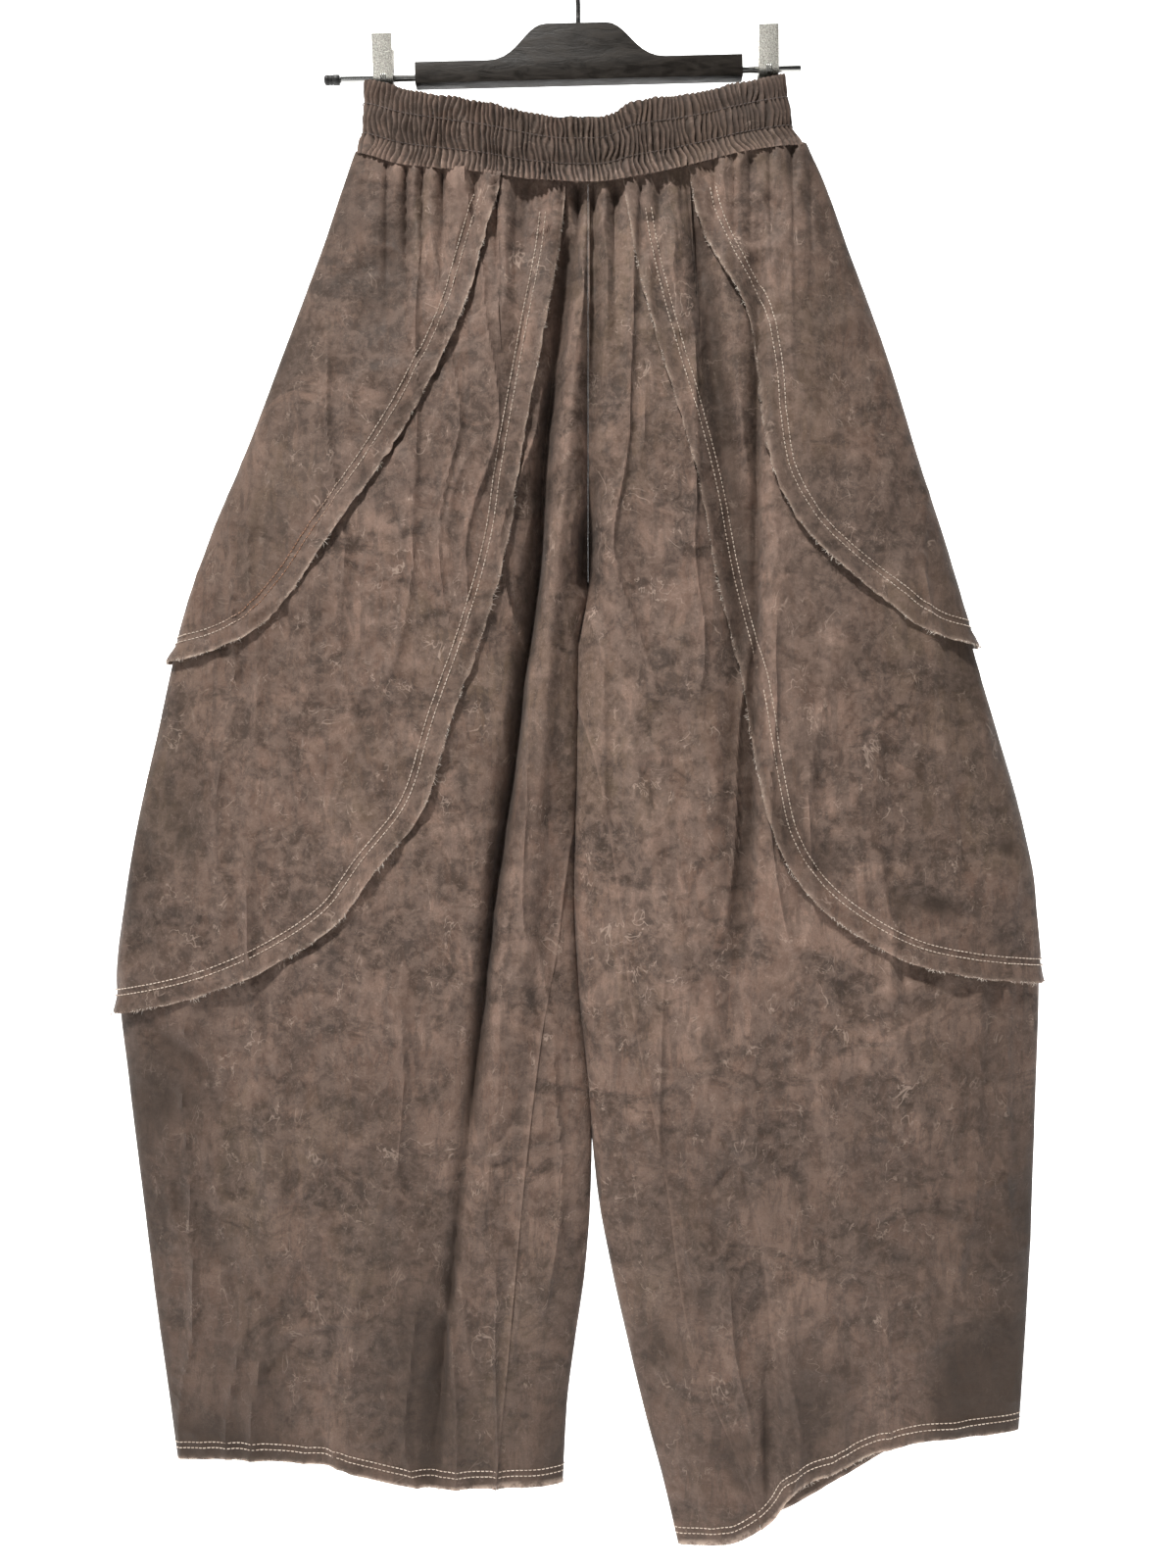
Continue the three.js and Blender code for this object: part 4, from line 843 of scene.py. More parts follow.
def new_mesh(name, points, faces, attributes=()):
    """A mesh object in metres from points in millimetres and faces of three or four corners."""
    mesh = bpy.data.meshes.new(name)
    sizes = [len(block[0]) for block in faces for _ in block]
    corners = np.concatenate([np.asarray(block).ravel() for block in faces])
    starts = np.concatenate([[0], np.cumsum(sizes)[:-1]])
    mesh.vertices.add(len(points))
    mesh.vertices.foreach_set("co", (np.asarray(points) * METRES).astype(np.float32).ravel())
    mesh.loops.add(len(corners))
    mesh.loops.foreach_set("vertex_index", corners.astype(np.int32))
    mesh.polygons.add(len(sizes))
    mesh.polygons.foreach_set("loop_start", starts.astype(np.int32))
    mesh.polygons.foreach_set("use_smooth", np.ones(len(sizes), bool))
    mesh.update(calc_edges=True)
    for key, values in attributes:
        layer = mesh.attributes.new(key, "FLOAT", "POINT")
        layer.data.foreach_set("value", np.asarray(values, np.float32).ravel())
    mesh.set_sharp_from_angle(angle=math.radians(60))
    return placed(name, mesh)


def shell_faces(rows, columns, ring):
    """The faces of a closed wall between an outer and an inner grid stored row by row."""
    offset = rows * columns
    c = np.arange(columns if ring else columns - 1)
    n = (c + 1) % columns
    r = np.arange(rows - 1)[:, None] * columns
    outer = np.stack([r + c, r + columns + c, r + columns + n, r + n], -1).reshape(-1, 4)
    low = (rows - 1) * columns
    top_edge = np.column_stack([c, n, n + offset, c + offset])
    low_edge = np.column_stack([low + c, low + c + offset, low + n + offset, low + n])
    blocks = [outer, outer[:, ::-1] + offset, top_edge, low_edge]
    if not ring:
        first = r[:, 0]
        last = first + columns - 1
        blocks.append(np.column_stack([first, first + offset, first + columns + offset, first + columns]))
        blocks.append(np.column_stack([last, last + columns, last + columns + offset, last + offset]))
    return np.vstack(blocks)


def outward(points, faces):
    """The faces turned so that the body's volume is positive."""
    a, b, c, d = (points[faces[:, k]] for k in range(4))
    volume = np.einsum("ij,ij->i", a, np.cross(b, c)) + np.einsum("ij,ij->i", a, np.cross(c, d))
    return faces if volume.sum() > 0 else faces[:, ::-1]


def cloth_shell(node, outer, inner, marks, ring=False):
    """A closed wall of cloth between two grids, which stands in for one of the frame's nodes."""
    points = np.concatenate([outer.reshape(-1, 3), inner.reshape(-1, 3)])
    faces = outward(points, shell_faces(*outer.shape[:2], ring))
    both = [np.concatenate([mark.ravel(), mark.ravel()]) for mark in marks]
    piece = new_mesh(f"cloth_{node}", points, [faces], zip(("pale", "dark", "edge"), both))
    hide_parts(node)
    return piece


def panel(half, back, which, layer, places, seam):
    """A panel as a closed shell, its outer face a layer's height over the base surface."""
    across, drop = places
    flat_x = half.ring_x(half.angle_at(across, drop, back), drop)
    height = np.full(across.shape, float(layer * LAYER_STEP))
    pale, dark = np.zeros(across.shape), np.zeros(across.shape)
    edge = np.zeros(across.shape)
    if seam is not None:
        distance, along = (a.reshape(across.shape) for a in seam.near(flat_x.ravel(), drop.ravel()))
        height += seam.lift(distance, along) + seam.pull(distance, along)
        drawn = np.exp(-(((distance - STITCHES_MIDDLE) / 5) ** 2))
        pale = 0.3 * drawn * (0.7 + 0.6 * noise(along / 24, 4))
        # Painted shade: the flap between the stitches and the raw edge is painted darker
        dark = 0.22 * (distance < SEAM_STITCHES[0] - 2) * np.clip(distance / 3, 0, 1)
        edge = np.exp(-distance / 0.9)
    outer, worn, stain_and_shade = half.cloth(across, drop, back, height)
    inner = half.cloth(across, drop, back, height - WALL)[0]
    if which == "leg":
        hem = drop[-1] - drop
        edge = np.exp(-hem / 0.9)
        on_seam = (drop > half.first_inseam) & (not back)
        away = np.where(on_seam, np.abs(flat_x - half.inseam_x(drop)), FAR)
        pale = 0.3 * np.exp(-(((hem - 10) / 6) ** 2)) + 0.75 * np.exp(-((away / 1.8) ** 2))
        ridge = 0.9 * np.exp(-((away / 2.6) ** 2)) * (1 + 0.6 * noise(drop / 6, 2))
        ridge = ridge + 0.6 * noise(drop / 7, 8) * np.exp(-((away / 9) ** 2))
        outer[..., 1] -= ridge
    node = f"{'back' if back else 'front'}_{half.side}_{which}"
    # The dark mark holds the stains and the painted shade
    marks = (np.maximum(pale, worn), np.maximum(dark, stain_and_shade), edge)
    return node, cloth_shell(node, outer, inner, marks), polygon_area(outer)


def polygon_area(grid):
    """A grid's area in square metres."""
    across = grid[:-1, 1:] - grid[:-1, :-1]
    down = grid[1:, :-1] - grid[:-1, :-1]
    return float(np.linalg.norm(np.cross(across, down), axis=2).sum()) * METRES**2


def tubes(name, stations, radii, up, sides, attributes=()):
    """Many small tubes as one mesh. Stations are their centres, as tube, station, xyz."""
    count, steps = stations.shape[:2]
    along = unit(np.gradient(stations, axis=1))
    side = unit(np.cross(along, up[:, None, :]))
    over = np.cross(side, along)
    turn = 2 * np.pi * np.arange(sides) / sides
    ring = np.cos(turn)[:, None] * side[:, :, None, :] + np.sin(turn)[:, None] * over[:, :, None, :]
    points = stations[:, :, None, :] + ring * radii[..., None, None]
    base = (np.arange(count) * steps * sides)[:, None, None]
    s = (np.arange(steps - 1) * sides)[None, :, None]
    k = np.arange(sides)[None, None, :]
    n = (k + 1) % sides
    quads = np.stack([base + s + k, base + s + n, base + s + sides + n, base + s + sides + k], -1)
    first = base[:, 0] + np.arange(sides)[::-1]
    last = base[:, 0] + (steps - 1) * sides + np.arange(sides)
    spread = [(key, np.repeat(values, steps * sides)) for key, values in attributes]
    return new_mesh(name, points.reshape(-1, 3), [quads.reshape(-1, 4), first, last], spread)


def stitch_row(line, normals):
    """Starts and ends of a row's stitches along a line of points."""
    along = lengths_along(line)
    starts = np.arange(1.0, along[-1] - STITCH_LENGTH, STITCH_PITCH)
    ends = sampled(line, along, starts + STITCH_LENGTH)
    return sampled(line, along, starts), ends, unit(sampled(normals, along, starts))


def make_stitches(name, rows, rust=None):
    """Stitches that bow over the cloth and dive into it at their ends."""
    parts = [stitch_row(*row) for row in rows]
    a, b, up = (np.concatenate([part[k] for part in parts]) for k in range(3))
    shown = in_sight(a)
    a, b, up = a[shown], b[shown], up[shown]
    share = np.array([0, 0.25, 0.75, 1])
    bow = np.array([-STITCH_DIVE, STITCH_BOW, STITCH_BOW, -STITCH_DIVE])
    width = np.array([0.5, 1, 1, 0.5]) * THREAD_RADIUS
    stations = a[:, None] + (b - a)[:, None] * share[:, None] + up[:, None] * bow[:, None]
    radii = np.broadcast_to(width, stations.shape[:2])
    colour = rust(a) if rust else np.zeros(len(a))
    return tubes(name, stations, radii, up, 4, [("rust", colour), ("tone", rng.uniform(0, 1, len(a)))])


def make_fray(name, line, away, up, length):
    """Short loose threads that leave a raw edge, most of them lying back along it."""
    along = lengths_along(line)
    count = int(along[-1] / FRAY_PITCH)
    at = np.sort(rng.uniform(0, along[-1], count))
    start, out, top = (sampled(table, along, at) for table in (line, away, up))
    run = unit(sampled(np.gradient(line, axis=0), along, at))
    tuft = 0.55 + 0.75 * np.clip(noise(at / 9, 6), -0.5, 1)
    size = (length * tuft * rng.uniform(0.35, 1.3, count))[:, None]
    lean, rise = rng.normal(0, 1.0, count), rng.normal(0.25, 0.35, count)
    heading = unit(out + run * lean[:, None] + top * rise[:, None])
    bend = unit(out + run * (lean * rng.uniform(0.2, 2.2, count))[:, None] - top * 0.25)
    start = start - out * rng.uniform(0.2, 1.2, count)[:, None]
    middle = start + heading * size * 0.5
    stations = np.stack([start, middle, middle + bend * size * 0.5], 1)
    thick = rng.uniform(0.11, 0.2, count)
    radii = np.column_stack([thick, thick, thick * 0.5])
    tone = rng.uniform(0, 1, count)
    return tubes(name, stations, radii, unit(top + 1e-3), 3, [("tone", tone)])


def lifted(half, back, layer, across, drop, seam=None):
    """Points on a panel's outer face, and its outward direction there."""
    height = np.full(across.shape, float(layer * LAYER_STEP))
    if seam is not None:
        x = half.ring_x(half.angle_at(across, drop, back), drop)
        distance, along = seam.near(x, drop)
        height += seam.lift(distance, along) + seam.pull(distance, along)
    points = half.cloth(across, drop, back, height)[0]
    raised = half.cloth(across, drop, back, height + 1)[0]
    return points, raised - points


def seam_rows(half, back, layer, seam):
    """The two rows of stitches beside a raw edge."""
    share = np.linspace(0.015, 1, int(seam.length))
    return [
        lifted(half, back, layer, *seam.inside(share, distance), seam) for distance in SEAM_STITCHES
    ]


def edge_row(half, back, layer, seam):
    """A raw edge, the way out from it and the way up."""
    share = np.linspace(0.0, 1, int(seam.length))
    line, up = lifted(half, back, layer, *seam.edge(share), seam)
    inside = lifted(half, back, layer, *seam.inside(share, 3.0), seam)[0]
    return line, unit(line - inside), up


def hem_rows(half, back, places):
    """The hem's two rows of stitches, and its raw edge with the ways down and up."""
    across, drop = (a[-1] for a in places)
    rows = [lifted(half, back, 0, across, drop - above) for above in HEM_STITCHES]
    edge, up = lifted(half, back, 0, across, drop)
    down = np.tile([0.0, 0.0, -1.0], (len(edge), 1))
    return rows, (edge, down, up)


def make_panels(half, back):
    """The hip, thigh and leg panel of one half's front or back, each with its stitches and fray."""
    p, first_thigh, first_hip, hip_seam, thigh_seam = columns_of(half, back)

    def cut(key, start):
        return p[key][0][start:], p[key][1][start:]

    def wavy(a, b):
        """Rows out to a raw edge that isn't quite even."""
        seam_share = np.linspace(0, 1, len(a[0]))
        ragged = 1 + 0.05 * noise(seam_share * 90, 2) + 0.035 * noise(seam_share * 300, 5)
        t = np.linspace(0, 1, FLAP_ROWS + 1)[1:, None] * ragged
        return np.clip(a[0] + (b[0] - a[0]) * t, 0, 1), a[1] + (b[1] - a[1]) * t

    hidden = [0, 0.33, 0.66, 1]
    waist, under, edge = (cut(key, first_hip) for key in ("waist", "hip_under", "hip_edge"))
    hip = stacked(rows_between(waist, under, back), wavy(under, edge))
    lines = ("hip_under", "hip_edge", "thigh_under", "thigh_edge")
    top, start, under, edge = (cut(key, first_thigh) for key in lines)
    thigh = stacked(
        mixed(top, start, hidden),
        rows_between(start, under, back, first=False),
        wavy(under, edge),
    )
    leg = stacked(
        mixed(p["thigh_under"], p["thigh_edge"], hidden),
        rows_between(p["thigh_edge"], p["hem"], back, first=False),
    )
    panels = []
    for which, layer, grid, seam in (
        ("hip", 2, hip, hip_seam), ("thigh", 1, thigh, thigh_seam), ("leg", 0, leg, None),
    ):
        node, piece, area = panel(half, back, which, layer, grid, seam)
        if seam is None:
            rows, edge = hem_rows(half, back, grid)
        else:
            rows, edge = seam_rows(half, back, layer, seam), edge_row(half, back, layer, seam)
        stitches = make_stitches(f"topstitching_{node}", rows, rusty if node == RUSTY_PANEL else None)
        fray = make_fray(f"raw_edge_threads_{node}", *edge, SEAM_FRAY if seam else HEM_FRAY)
        panels.append((piece, area, stitches, fray))
    return panels


def in_sight(points):
    """Stitches that a lapped fold of the right leg hides are left out."""
    x, y, drop = points[:, 0], points[:, 1], -points[:, 2]
    seen = np.ones(len(points), bool)
    for left, right, high, low in HIDDEN_STITCHES:
        seen &= ~((y < 0) & (x > left) & (x < right) & (drop > high) & (drop < low))
    return seen


def rusty(points):
    """How rust-brown each stitch is."""
    drop = -points[:, 2]
    begun = np.clip((drop - RUST_START) / RUST_FADE_IN, 0, 1)
    return begun * np.clip((RUST_END - drop) / RUST_FADE_OUT, 0, 1)


def band_points(k, share, gathered=True, thin=0.0):
    """Points of the band at a step round it and a share of its height."""
    half = BAND_GATHERS * BAND_STEPS
    back = k > half
    along = np.where(back, 2 * half - k, k) / half
    side = np.where(back, 40, 0)
    wander = 2.2 * noise(along * 24 + side, share * 2.4) + 1.0 * noise(along * 60 + side, share * 6)
    turn = np.pi * BAND_GATHERS * along + wander
    puff = np.abs(np.sin(turn)) ** 0.6
    uneven = 1 + 0.7 * noise(along * 37 + side, share * 4 + 9)
    wave = band_gathers(share) * uneven * 2.5 * (puff - 0.75) if gathered else 0.35
    grow = band_bulge(share) + wave - thin
    left, right = band_left(share), band_right(share)
    x = (left + right) / 2 + ((right - left) / 2 + grow) * (2 * along - 1)
    x = x + 0.5 * noise(along * 90 + side, share * 9)
    top = np.where(back, band_top_back(x), band_top_front(x))
    bottom = np.where(back, waist_back(x), waist_front(x)) + BAND_OVERLAP
    ruffle = (1 - share) ** 6 * (0.9 * puff + 0.8 * noise(along * 45 + side, 3))
    drop = top + (bottom - top) * share - ruffle
    depth = np.where(back, depth_back(drop), depth_front(drop)) + BAND_ROOM + grow
    ring = np.maximum(1 - (2 * along - 1) ** 2, 0) ** 0.25
    points = np.stack([x, np.where(back, 1, -1) * depth * ring, -drop], -1)
    return points, puff


def make_band():
    steps = 2 * BAND_GATHERS * BAND_STEPS
    k, share = np.meshgrid(np.arange(steps), np.linspace(0, 1, BAND_ROWS))
    outer, puff = band_points(k, share)
    inner = band_points(k, share, thin=WALL)[0]
    pale = 0.2 * puff**4 + 0.7 * np.exp(-(1 - share) / 0.03)
    # Darker all round, and painted shade in the gathers' valleys, less towards the band's bottom
    dark = np.clip(1.25 * (1 - puff) ** 0.8 + 0.4 - 0.3 * np.clip((share - 0.72) / 0.2, 0, 1), 0, 1)
    band = cloth_shell("waistband", outer, inner, (pale, dark, np.zeros(share.shape)), ring=True)
    rows = []
    for at in BAND_STITCHES:
        line = band_points(np.arange(steps), np.full(steps, at), gathered=False)[0]
        middle = line.mean(0)
        rows.append((line, unit((line - middle) * np.array([0.05, 1, 0]))))
    stitches = make_stitches("topstitching_waistband", rows)
    return band, stitches


def on_hanger(points):
    """Points beside the rod, in the garment's frame: the right end of the hanger is the higher."""
    c, s = math.cos(HANGER_TILT), math.sin(HANGER_TILT)
    turned = points @ np.array([[c, 0, s], [0, 1, 0], [-s, 0, c]])
    return turned + HANGER_MIDDLE


def lathe(name, profile, sides=40):
    """A round body along the rod from rows of place and radius."""
    profile = np.array(profile, float)
    line = on_hanger(np.column_stack([profile[:, 0], np.zeros((len(profile), 2))]))
    up = np.array([[0.0, 0.0, 1.0]])
    return tubes(name, line[None], profile[None, :, 1], up, sides)


def make_rod():
    left, right, radius = ROD["left"], ROD["right"], ROD["radius"]
    bevel = 0.5
    rod = lathe("rod", [(left, radius - bevel), (left + bevel, radius), (right - bevel, radius),
                        (right, radius - bevel)])
    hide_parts("hanger_rod")
    return rod


def make_cap():
    """A black cap with a rounded end and two shallow grip rings."""
    end, radius = CAP["right"], CAP["radius"]
    start = end - CAP["length"]
    profile = [(start, 1.8), (start + 0.4, 2.9), (start + 1.2, radius)]
    sunk = radius - CAP["grip_depth"]
    for ring in CAP["grip_rings"]:
        at = start + ring
        profile += [(at, radius), (at + 0.3, sunk), (at + 0.9, sunk), (at + 1.2, radius)]
    profile += [(end - 0.5, radius), (end, radius - 0.5)]
    cap = lathe("rod_cap", profile)
    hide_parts("hanger_rod_cap")
    return cap


def make_hook():
    """A wire hook whose tip is rounded off."""
    middle = HOOK_WIRE - HOOK_BEND
    bend = [
        (HOOK_BEND * math.cos(math.radians(a)), middle + HOOK_BEND * math.sin(math.radians(a)))
        for a in HOOK_TURNS
    ]
    line, _ = smooth_line([HOOK_FOOT, *HOOK_STEM, *bend], 160)
    points = np.column_stack([line[:, 0], np.zeros(len(line)), line[:, 1]])
    radii = np.full(len(line), HOOK_WIRE)
    radii[0], radii[-1], radii[-2] = HOOK_WIRE * 0.8, HOOK_WIRE * 0.55, HOOK_WIRE * 0.9
    hook = tubes("hook", points[None], radii[None], np.array([[0.0, 1.0, 0.0]]), 20)
    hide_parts("hanger_hook")
    return hook


def bevelled(name, node, width, segments):
    """A CAD node's form with its edges rounded."""
    mesh = NODES[node].data.copy()
    mesh.name = name
    mesh.materials.clear()
    piece = placed(name, mesh)
    weld = piece.modifiers.new("weld", "WELD")
    weld.merge_threshold = 1e-5
    bevel = piece.modifiers.new("bevel", "BEVEL")
    bevel.width = width * METRES
    bevel.segments = segments
    bevel.limit_method = "ANGLE"
    bevel.angle_limit = math.radians(35)
    bevel.harden_normals = False
    baked = bpy.data.meshes.new_from_object(piece.evaluated_get(bpy.context.evaluated_depsgraph_get()))
    piece.modifiers.clear()
    piece.data = baked
    baked.name = name
    baked.polygons.foreach_set("use_smooth", np.ones(len(baked.polygons), bool))
    baked.set_sharp_from_angle(angle=math.radians(40))
    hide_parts(node)
    return piece


def make_spring(side):
    """The clip's coil spring, round its barrel."""
    turn = np.linspace(0, 2 * np.pi * SPRING["turns"], 90)
    x = CLIP_CENTRES[side] + np.linspace(-0.5, 0.5, 90) * SPRING["width"]
    line = np.column_stack([x, SPRING["radius"] * np.cos(turn), SPRING["radius"] * np.sin(turn)])
    radii = np.full((1, 90), SPRING["wire"])
    return tubes(f"clip_spring_{side}", on_hanger(line)[None], radii, np.array([[1.0, 0.0, 0.0]]), 8)


class Look:
    """A node material, built a node at a time."""

    def __init__(self, name):
        self.material = bpy.data.materials.new(name)
        self.material.use_nodes = True
        self.tree = self.material.node_tree
        self.tree.nodes.clear()
        self.output = self.tree.nodes.new("ShaderNodeOutputMaterial")
        self.place = self.add("TexCoord").outputs["Object"]

    def add(self, kind, links=(), **settings):
        node = self.tree.nodes.new(f"ShaderNode{kind}")
        for key, value in settings.items():
            setattr(node, key, value)
        for key, value in dict(links).items():
            socket = node.inputs[key]
            if isinstance(value, bpy.types.NodeSocket):
                self.tree.links.new(value, socket)
            else:
                socket.default_value = value
        return node

    def stretched(self, scale, turn=(0, 0, 0)):
        return self.add("Mapping", {"Vector": self.place, "Scale": scale, "Rotation": turn}).outputs[0]

    def noise(self, scale, detail=4, roughness=0.55, distortion=0.0, vector=None):
        links = {"Vector": vector or self.place, "Scale": scale, "Detail": detail,
                 "Roughness": roughness, "Distortion": distortion}
        return self.add("TexNoise", links).outputs["Fac"]

    def ramp(self, value, low, high, to_low=0.0, to_high=1.0):
        links = {"Value": value, "From Min": low, "From Max": high, "To Min": to_low, "To Max": to_high}
        return self.add("MapRange", links, interpolation_type="SMOOTHSTEP").outputs[0]

    def math(self, operation, a, b=0.5):
        return self.add("Math", {0: a, 1: b}, operation=operation).outputs[0]

    def mix(self, share, a, b):
        node = self.add("Mix", data_type="RGBA")
        for key, value in ((0, share), (6, a), (7, b)):
            if isinstance(value, bpy.types.NodeSocket):
                self.tree.links.new(value, node.inputs[key])
            else:
                node.inputs[key].default_value = value if key == 0 else (*value, 1)
        return node.outputs[2]

    def attribute(self, name):
        return self.add("Attribute", attribute_name=name).outputs["Fac"]

    def bump(self, heights):
        """Bumps one on another, from rows of height, strength and distance in metres."""
        normal = None
        for height, strength, distance in heights:
            links = {"Height": height, "Strength": strength, "Distance": distance}
            if normal:
                links["Normal"] = normal
            normal = self.add("Bump", links).outputs[0]
        return normal

    def layers(self, colour, rows):
        """Tints laid over a colour, from rows of mask, where it starts and is full, share and tint."""
        for mask, low, high, share, tint in rows:
            colour = self.mix(self.ramp(mask, low, high, 0, share), colour, tint)
        return colour

    def finish(self, colour, roughness, normal=None, glow=0.0, **settings):
        links = {"Base Color": colour, "Roughness": roughness, "Emission Strength": glow}
        shader = self.add("BsdfPrincipled", links)
        for key, value in settings.items():
            shader.inputs[key.replace("_", " ")].default_value = value
        if normal:
            self.tree.links.new(normal, shader.inputs["Normal"])
        self.tree.links.new(shader.outputs[0], self.output.inputs["Surface"])
        return self.material


def hairlines(look, scale, width, turn, stretch):
    """Fine pale creased lines, as waxed cloth gets where it has been folded."""
    vector = look.stretched(stretch, turn)
    line = look.math("ABSOLUTE", look.math("SUBTRACT", look.noise(scale, 3, 0.6, 0.6, vector), 0.5))
    line = look.ramp(line, 0.0, width, 1.0, 0.0)
    patches = look.stretched(stretch, (0.3, 0.5, turn[2]))
    mask = look.ramp(look.noise(scale * 0.9, 2, 0.5, 0.3, patches), 0.56, 0.7)
    return look.math("MULTIPLY", line, mask)


def cotton():
    """Washed, pigment-dyed cotton: mottled, paler where it is worn and creased."""
    look = Look("washed_cotton")
    wide = look.noise(6.5, 5, 0.62, 0.5)
    cloud = look.noise(19, 7, 0.68, 0.9)
    grain = look.noise(110, 6, 0.72, 0.4)
    fibres = look.noise(60, 6, 0.75, 0.6, look.stretched((1.9, 1, 0.45), (0, 0.25, 0)))
    olive = look.noise(11, 4, 0.6, 0.4, look.stretched((1, 1, 0.6), (0.4, 0.2, 0.9)))
    smoke = look.noise(9, 5, 0.65, 0.8, look.stretched((1, 1, 0.8), (0.9, 1.2, 0.1)))
    murk = look.noise(17, 6, 0.7, 1.0, look.stretched((1, 1, 1.4), (1.1, 0.3, 0.2)))
    colour = look.layers((0.104, 0.067, 0.050), [
        (wide, 0.40, 0.60, 1, (0.205, 0.126, 0.094)),
        (cloud, 0.46, 0.62, 1, (0.310, 0.203, 0.156)),
        (olive, 0.5, 0.68, 0.6, (0.162, 0.119, 0.079)),
        (smoke, 0.5, 0.7, 0.75, (0.088, 0.063, 0.053)),
        (murk, 0.48, 0.62, 0.85, (0.050, 0.034, 0.026)),
        (fibres, 0.54, 0.44, 0.6, (0.083, 0.062, 0.052)),
        (grain, 0.38, 0.64, 0.55, (0.311, 0.217, 0.174)),
        (look.noise(900, 3, 0.8), 0.35, 0.75, 0.35, (0.086, 0.058, 0.046)),
    ])
    lines = look.math("MAXIMUM", hairlines(look, 42, 0.016, (0.2, 0.4, 0.6), (1, 1, 1)),
                      hairlines(look, 75, 0.02, (0.9, 0.1, 2.2), (1, 1, 0.7)))
    scuffs = look.ramp(look.noise(300, 4, 0.75, 1.2), 0.54, 0.72, 0, 0.5)
    lines_share = look.math("MULTIPLY", look.math("ADD", lines, scuffs), 0.6)
    colour = look.mix(lines_share, colour, (0.531, 0.402, 0.328))
    pale, dark, edge = (look.attribute(name) for name in ("pale", "dark", "edge"))
    pale = look.math("MULTIPLY", pale, look.ramp(look.noise(260, 3, 0.6), 0.25, 0.65, 0.35, 1))
    colour = look.mix(look.math("MULTIPLY", pale, 0.5), colour, (0.439, 0.301, 0.238))
    # The dark mark darkens the colour: stains, and painted shade at the sides, low on the legs, in
    # hollows, on flaps and in the band's gathers
    colour = look.mix(look.math("MULTIPLY", dark, 0.9), colour, (0.040, 0.027, 0.020))
    edge = look.math("MULTIPLY", edge, look.ramp(look.noise(140, 3, 0.7), 0.38, 0.58, 0.2, 0.95))
    colour = look.mix(edge, colour, (0.577, 0.445, 0.358))
    weft = look.noise(1000, 2, 0.5, 0, look.stretched((0.12, 1, 1.6)))
    warp = look.noise(1000, 2, 0.5, 0, look.stretched((1.6, 1, 0.12)))
    weave = look.math("ADD", weft, warp)
    normal = look.bump([
        (look.noise(24, 3, 0.5, 0.6), 0.6, 0.007), (fibres, 0.3, 0.0010), (grain, 0.3, 0.0010),
        (lines, 0.25, 0.0005),
        (weave, 0.35, 0.0003),
    ])
    roughness = look.ramp(cloud, 0.3, 0.7, 0.6, 0.78)
    return look.finish(colour, roughness, normal, Sheen_Weight=0.06, Sheen_Roughness=0.5,
                       Specular_IOR_Level=0.22)


def sewing_thread(name, dull, bright):
    look = Look(name)
    tone = look.attribute("tone")
    colour = look.mix(tone, dull, bright)
    colour = look.mix(look.math("MULTIPLY", look.attribute("rust"), 0.85), colour, (0.40, 0.17, 0.075))
    soiled = look.ramp(look.noise(55, 3, 0.6), 0.45, 0.75, 0, 0.45)
    colour = look.mix(soiled, colour, tuple(0.55 * channel for channel in dull))
    twist = look.noise(2400, 2, 0.5, 0, look.stretched((1, 1, 0.5), (0, 0.7, 0)))
    return look.finish(colour, 0.6, look.bump([(twist, 0.4, 0.0002)]), Sheen_Weight=0.2)


def loose_thread():
    look = Look("frayed_yarn")
    colour = look.mix(look.attribute("tone"), (0.36, 0.27, 0.22), (0.80, 0.72, 0.63))
    fuzz = look.noise(1500, 2, 0.6)
    return look.finish(colour, 0.85, look.bump([(fuzz, 0.3, 0.0002)]), Sheen_Weight=0.3)


def bar_plastic():
    look = Look("grained_plastic")
    fibre = look.noise(210, 5, 0.65, 0.8, look.stretched((0.25, 1, 1)))
    mottle = look.noise(40, 4, 0.6, 1.0)
    colour = look.mix(look.ramp(fibre, 0.35, 0.7), (0.012, 0.0095, 0.0075), (0.03, 0.024, 0.019))
    colour = look.mix(look.ramp(mottle, 0.45, 0.7, 0, 0.4), colour, (0.04, 0.033, 0.027))
    rough = look.ramp(fibre, 0.3, 0.7, 0.38, 0.6)
    return look.finish(colour, rough, look.bump([(fibre, 0.5, 0.0006), (mottle, 0.2, 0.001)]),
                       Specular_IOR_Level=0.25)


def chrome():
    look = Look("bright_steel")
    wipe = look.noise(160, 4, 0.6, 0.5, look.stretched((0.15, 1, 1)))
    colour = look.mix(look.ramp(wipe, 0.4, 0.7), (0.42, 0.42, 0.41), (0.60, 0.60, 0.58))
    rough = look.ramp(wipe, 0.3, 0.7, 0.16, 0.3)
    return look.finish(colour, rough, look.bump([(wipe, 0.1, 0.0002)]), Metallic=1.0)


def speckled_steel():
    look = Look("speckled_plate")
    speck = look.ramp(look.noise(1300, 3, 0.7), 0.42, 0.6)
    colour = look.mix(speck, (0.30, 0.29, 0.26), (0.66, 0.65, 0.60))
    rough = look.ramp(speck, 0, 1, 0.55, 0.32)
    return look.finish(colour, rough, look.bump([(speck, 0.5, 0.0003)]), Metallic=0.75)


def black_rubber():
    look = Look("cap_plastic")
    grain = look.noise(900, 3, 0.6)
    colour = look.mix(look.ramp(grain, 0.3, 0.7), (0.012, 0.012, 0.012), (0.03, 0.03, 0.03))
    return look.finish(colour, 0.5, look.bump([(grain, 0.3, 0.0002)]))


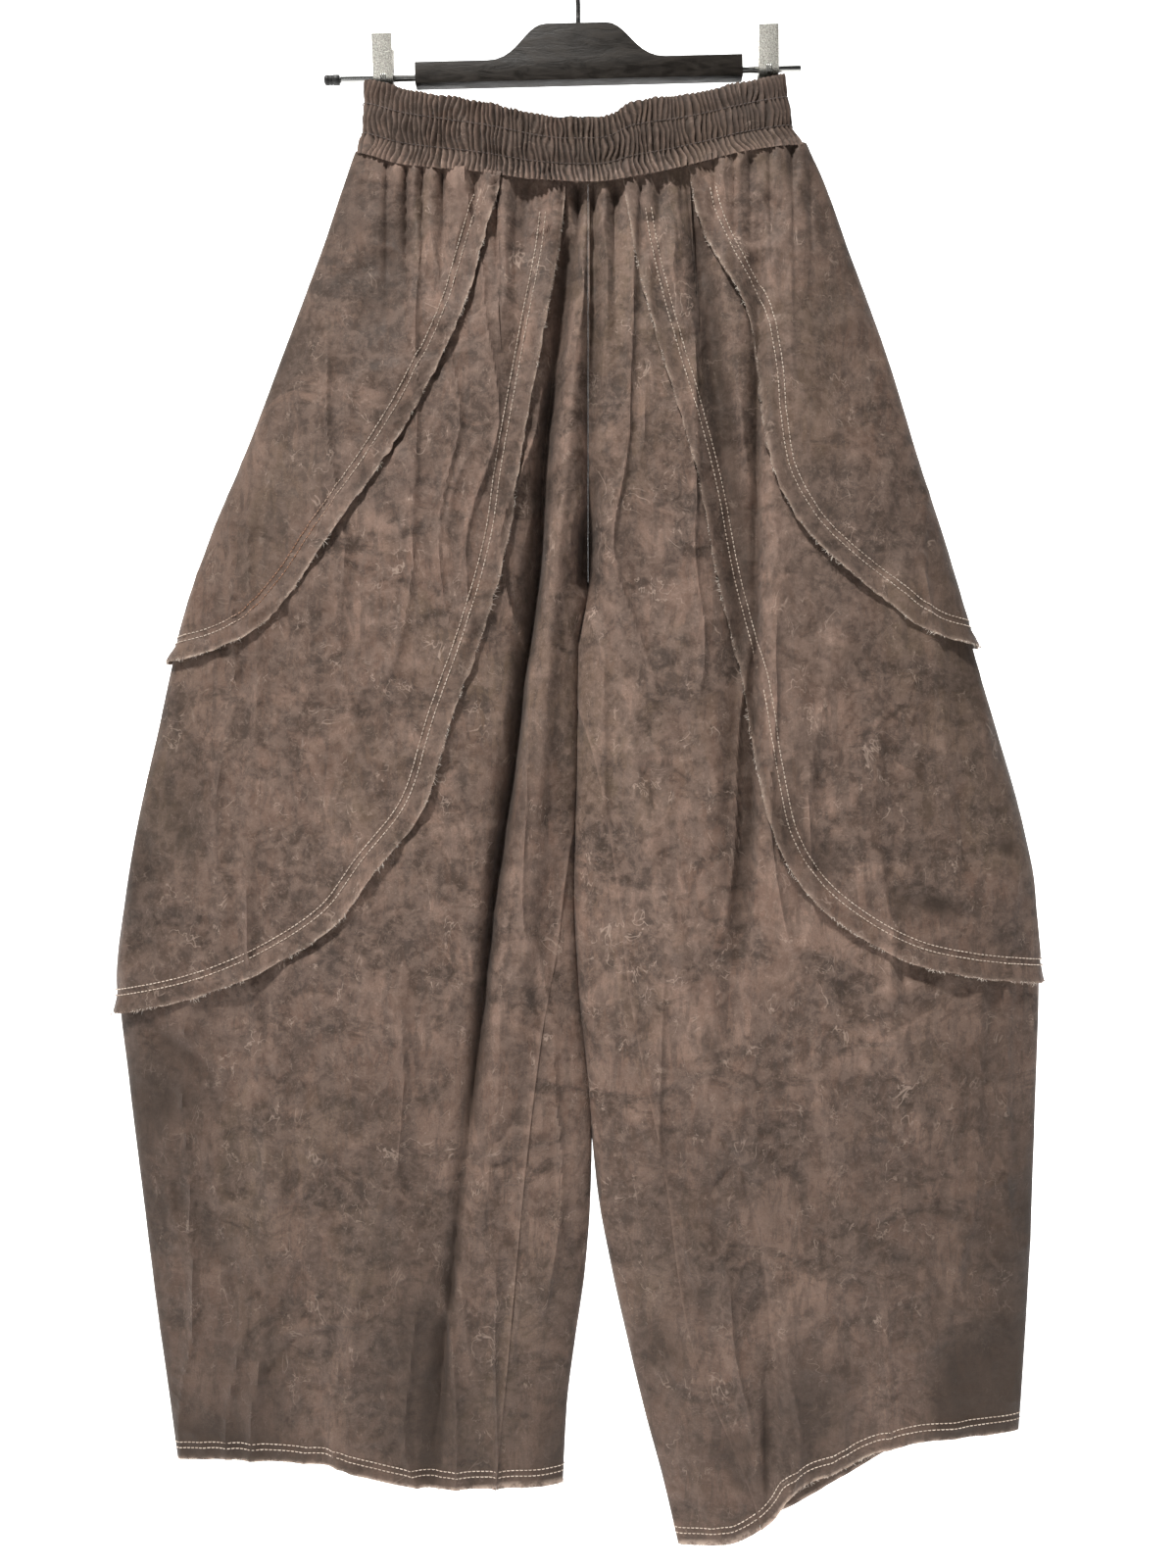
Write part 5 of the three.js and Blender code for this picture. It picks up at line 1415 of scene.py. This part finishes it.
def pale_floor():
    """A pale backdrop: matt grey in front, and bright behind the garment."""
    look = Look("pale_floor")
    grain = look.noise(3, 3, 0.5)
    behind = look.ramp(look.add("SeparateXYZ", {0: look.place}).outputs["Y"], *FLOOR_BRIGHTENS)
    front = look.mix(look.ramp(grain, 0.3, 0.7), (0.30, 0.30, 0.30), (0.33, 0.33, 0.33))
    colour = look.mix(behind, front, (0.93, 0.93, 0.93))
    return look.finish(colour, 0.9, glow=behind, Emission_Color=(1, 1, 1, 1))


def make_stage():
    """A pale floor that turns up into a pale wall behind the garment."""
    front, depth, width, rise = -6.0, 3.2, 9.0, 7.0
    turn = 0.6
    floor = -FLOOR_DROP * METRES
    line = [(front, floor), (depth - turn, floor)]
    line += [
        (depth - turn + turn * math.sin(a), floor + turn - turn * math.cos(a))
        for a in np.linspace(0, math.pi / 2, 14)[1:]
    ]
    line += [(depth, floor + rise)]
    points = [(x, y, z) for x in (-width, width) for y, z in line]
    n = len(line)
    faces = np.array([(i, i + 1, n + i + 1, n + i) for i in range(n - 1)])
    stage = new_mesh("floor_and_wall", np.array(points) / METRES, [faces])
    stage.data.materials.append(pale_floor())


def area_light(name, place, size, power, colour=(1, 1, 1)):
    data = bpy.data.lights.new(name, "AREA")
    data.shape = "DISK"
    data.size = size
    data.energy = power
    data.color = colour
    light = placed(name, data)
    light.location = place
    aim = Vector(LIGHT_TARGET) - Vector(place)
    light.rotation_euler = aim.to_track_quat("-Z", "Y").to_euler()


def make_camera():
    """Level with the garment's middle, at the distance that gives the photograph's perspective."""
    data = bpy.data.cameras.new("camera")
    data.sensor_width = SENSOR
    data.lens = SENSOR * CAMERA_DISTANCE / FRAME_HEIGHT
    camera = placed("camera", data)
    camera.location = (CAMERA_X * METRES, -CAMERA_DISTANCE * METRES, -CAMERA_DROP * METRES)
    camera.rotation_euler = (math.pi / 2, 0, 0)
    bpy.context.scene.camera = camera


def make_light():
    world = bpy.data.worlds.new("studio")
    world.use_nodes = True
    background = world.node_tree.nodes["Background"]
    background.inputs["Color"].default_value = (1, 1, 1, 1)
    background.inputs["Strength"].default_value = WORLD_STRENGTH
    bpy.context.scene.world = world
    area_light("key", (-1.1, -1.9, 3.1), 0.38, 235, (1, 0.98, 0.95))
    area_light("fill_left", (-2.6, -1.6, 0.0), 1.0, 6)
    area_light("key_back", (0.9, 2.3, 3.6), 0.8, 35)
    bpy.context.scene.view_settings.view_transform = "Standard"


def dress(piece, material):
    """Gives a piece its look and the body that it rides on."""
    piece.data.materials.clear()
    piece.data.materials.append(material)
    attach(piece, "root")


def main():
    cloth, yarn = cotton(), loose_thread()
    thread = sewing_thread("cream_thread", (0.56, 0.44, 0.35), (0.80, 0.68, 0.57))
    band_thread = sewing_thread("brown_thread", (0.07, 0.05, 0.042), (0.14, 0.10, 0.085))
    make_camera()
    for half in HALVES:
        for back in (False, True):
            for piece, area, stitches, fray in make_panels(half, back):
                dress(piece, cloth)
                dress(stitches, thread)
                dress(fray, yarn)
    band, stitches = make_band()
    dress(band, cloth)
    dress(stitches, band_thread)
    steel, plate = chrome(), speckled_steel()
    dress(bevelled("bar", "hanger_bar", BAR_BEVEL, 3), bar_plastic())
    dress(make_rod(), steel)
    dress(make_cap(), black_rubber())
    dress(make_hook(), steel)
    for side in CLIP_CENTRES:
        clip = bevelled(f"clip_{side}", f"hanger_clip_{side}", PLATE_BEVEL, 2)
        dress(clip, plate)
        dress(make_spring(side), steel)
    make_stage()
    make_light()


main()
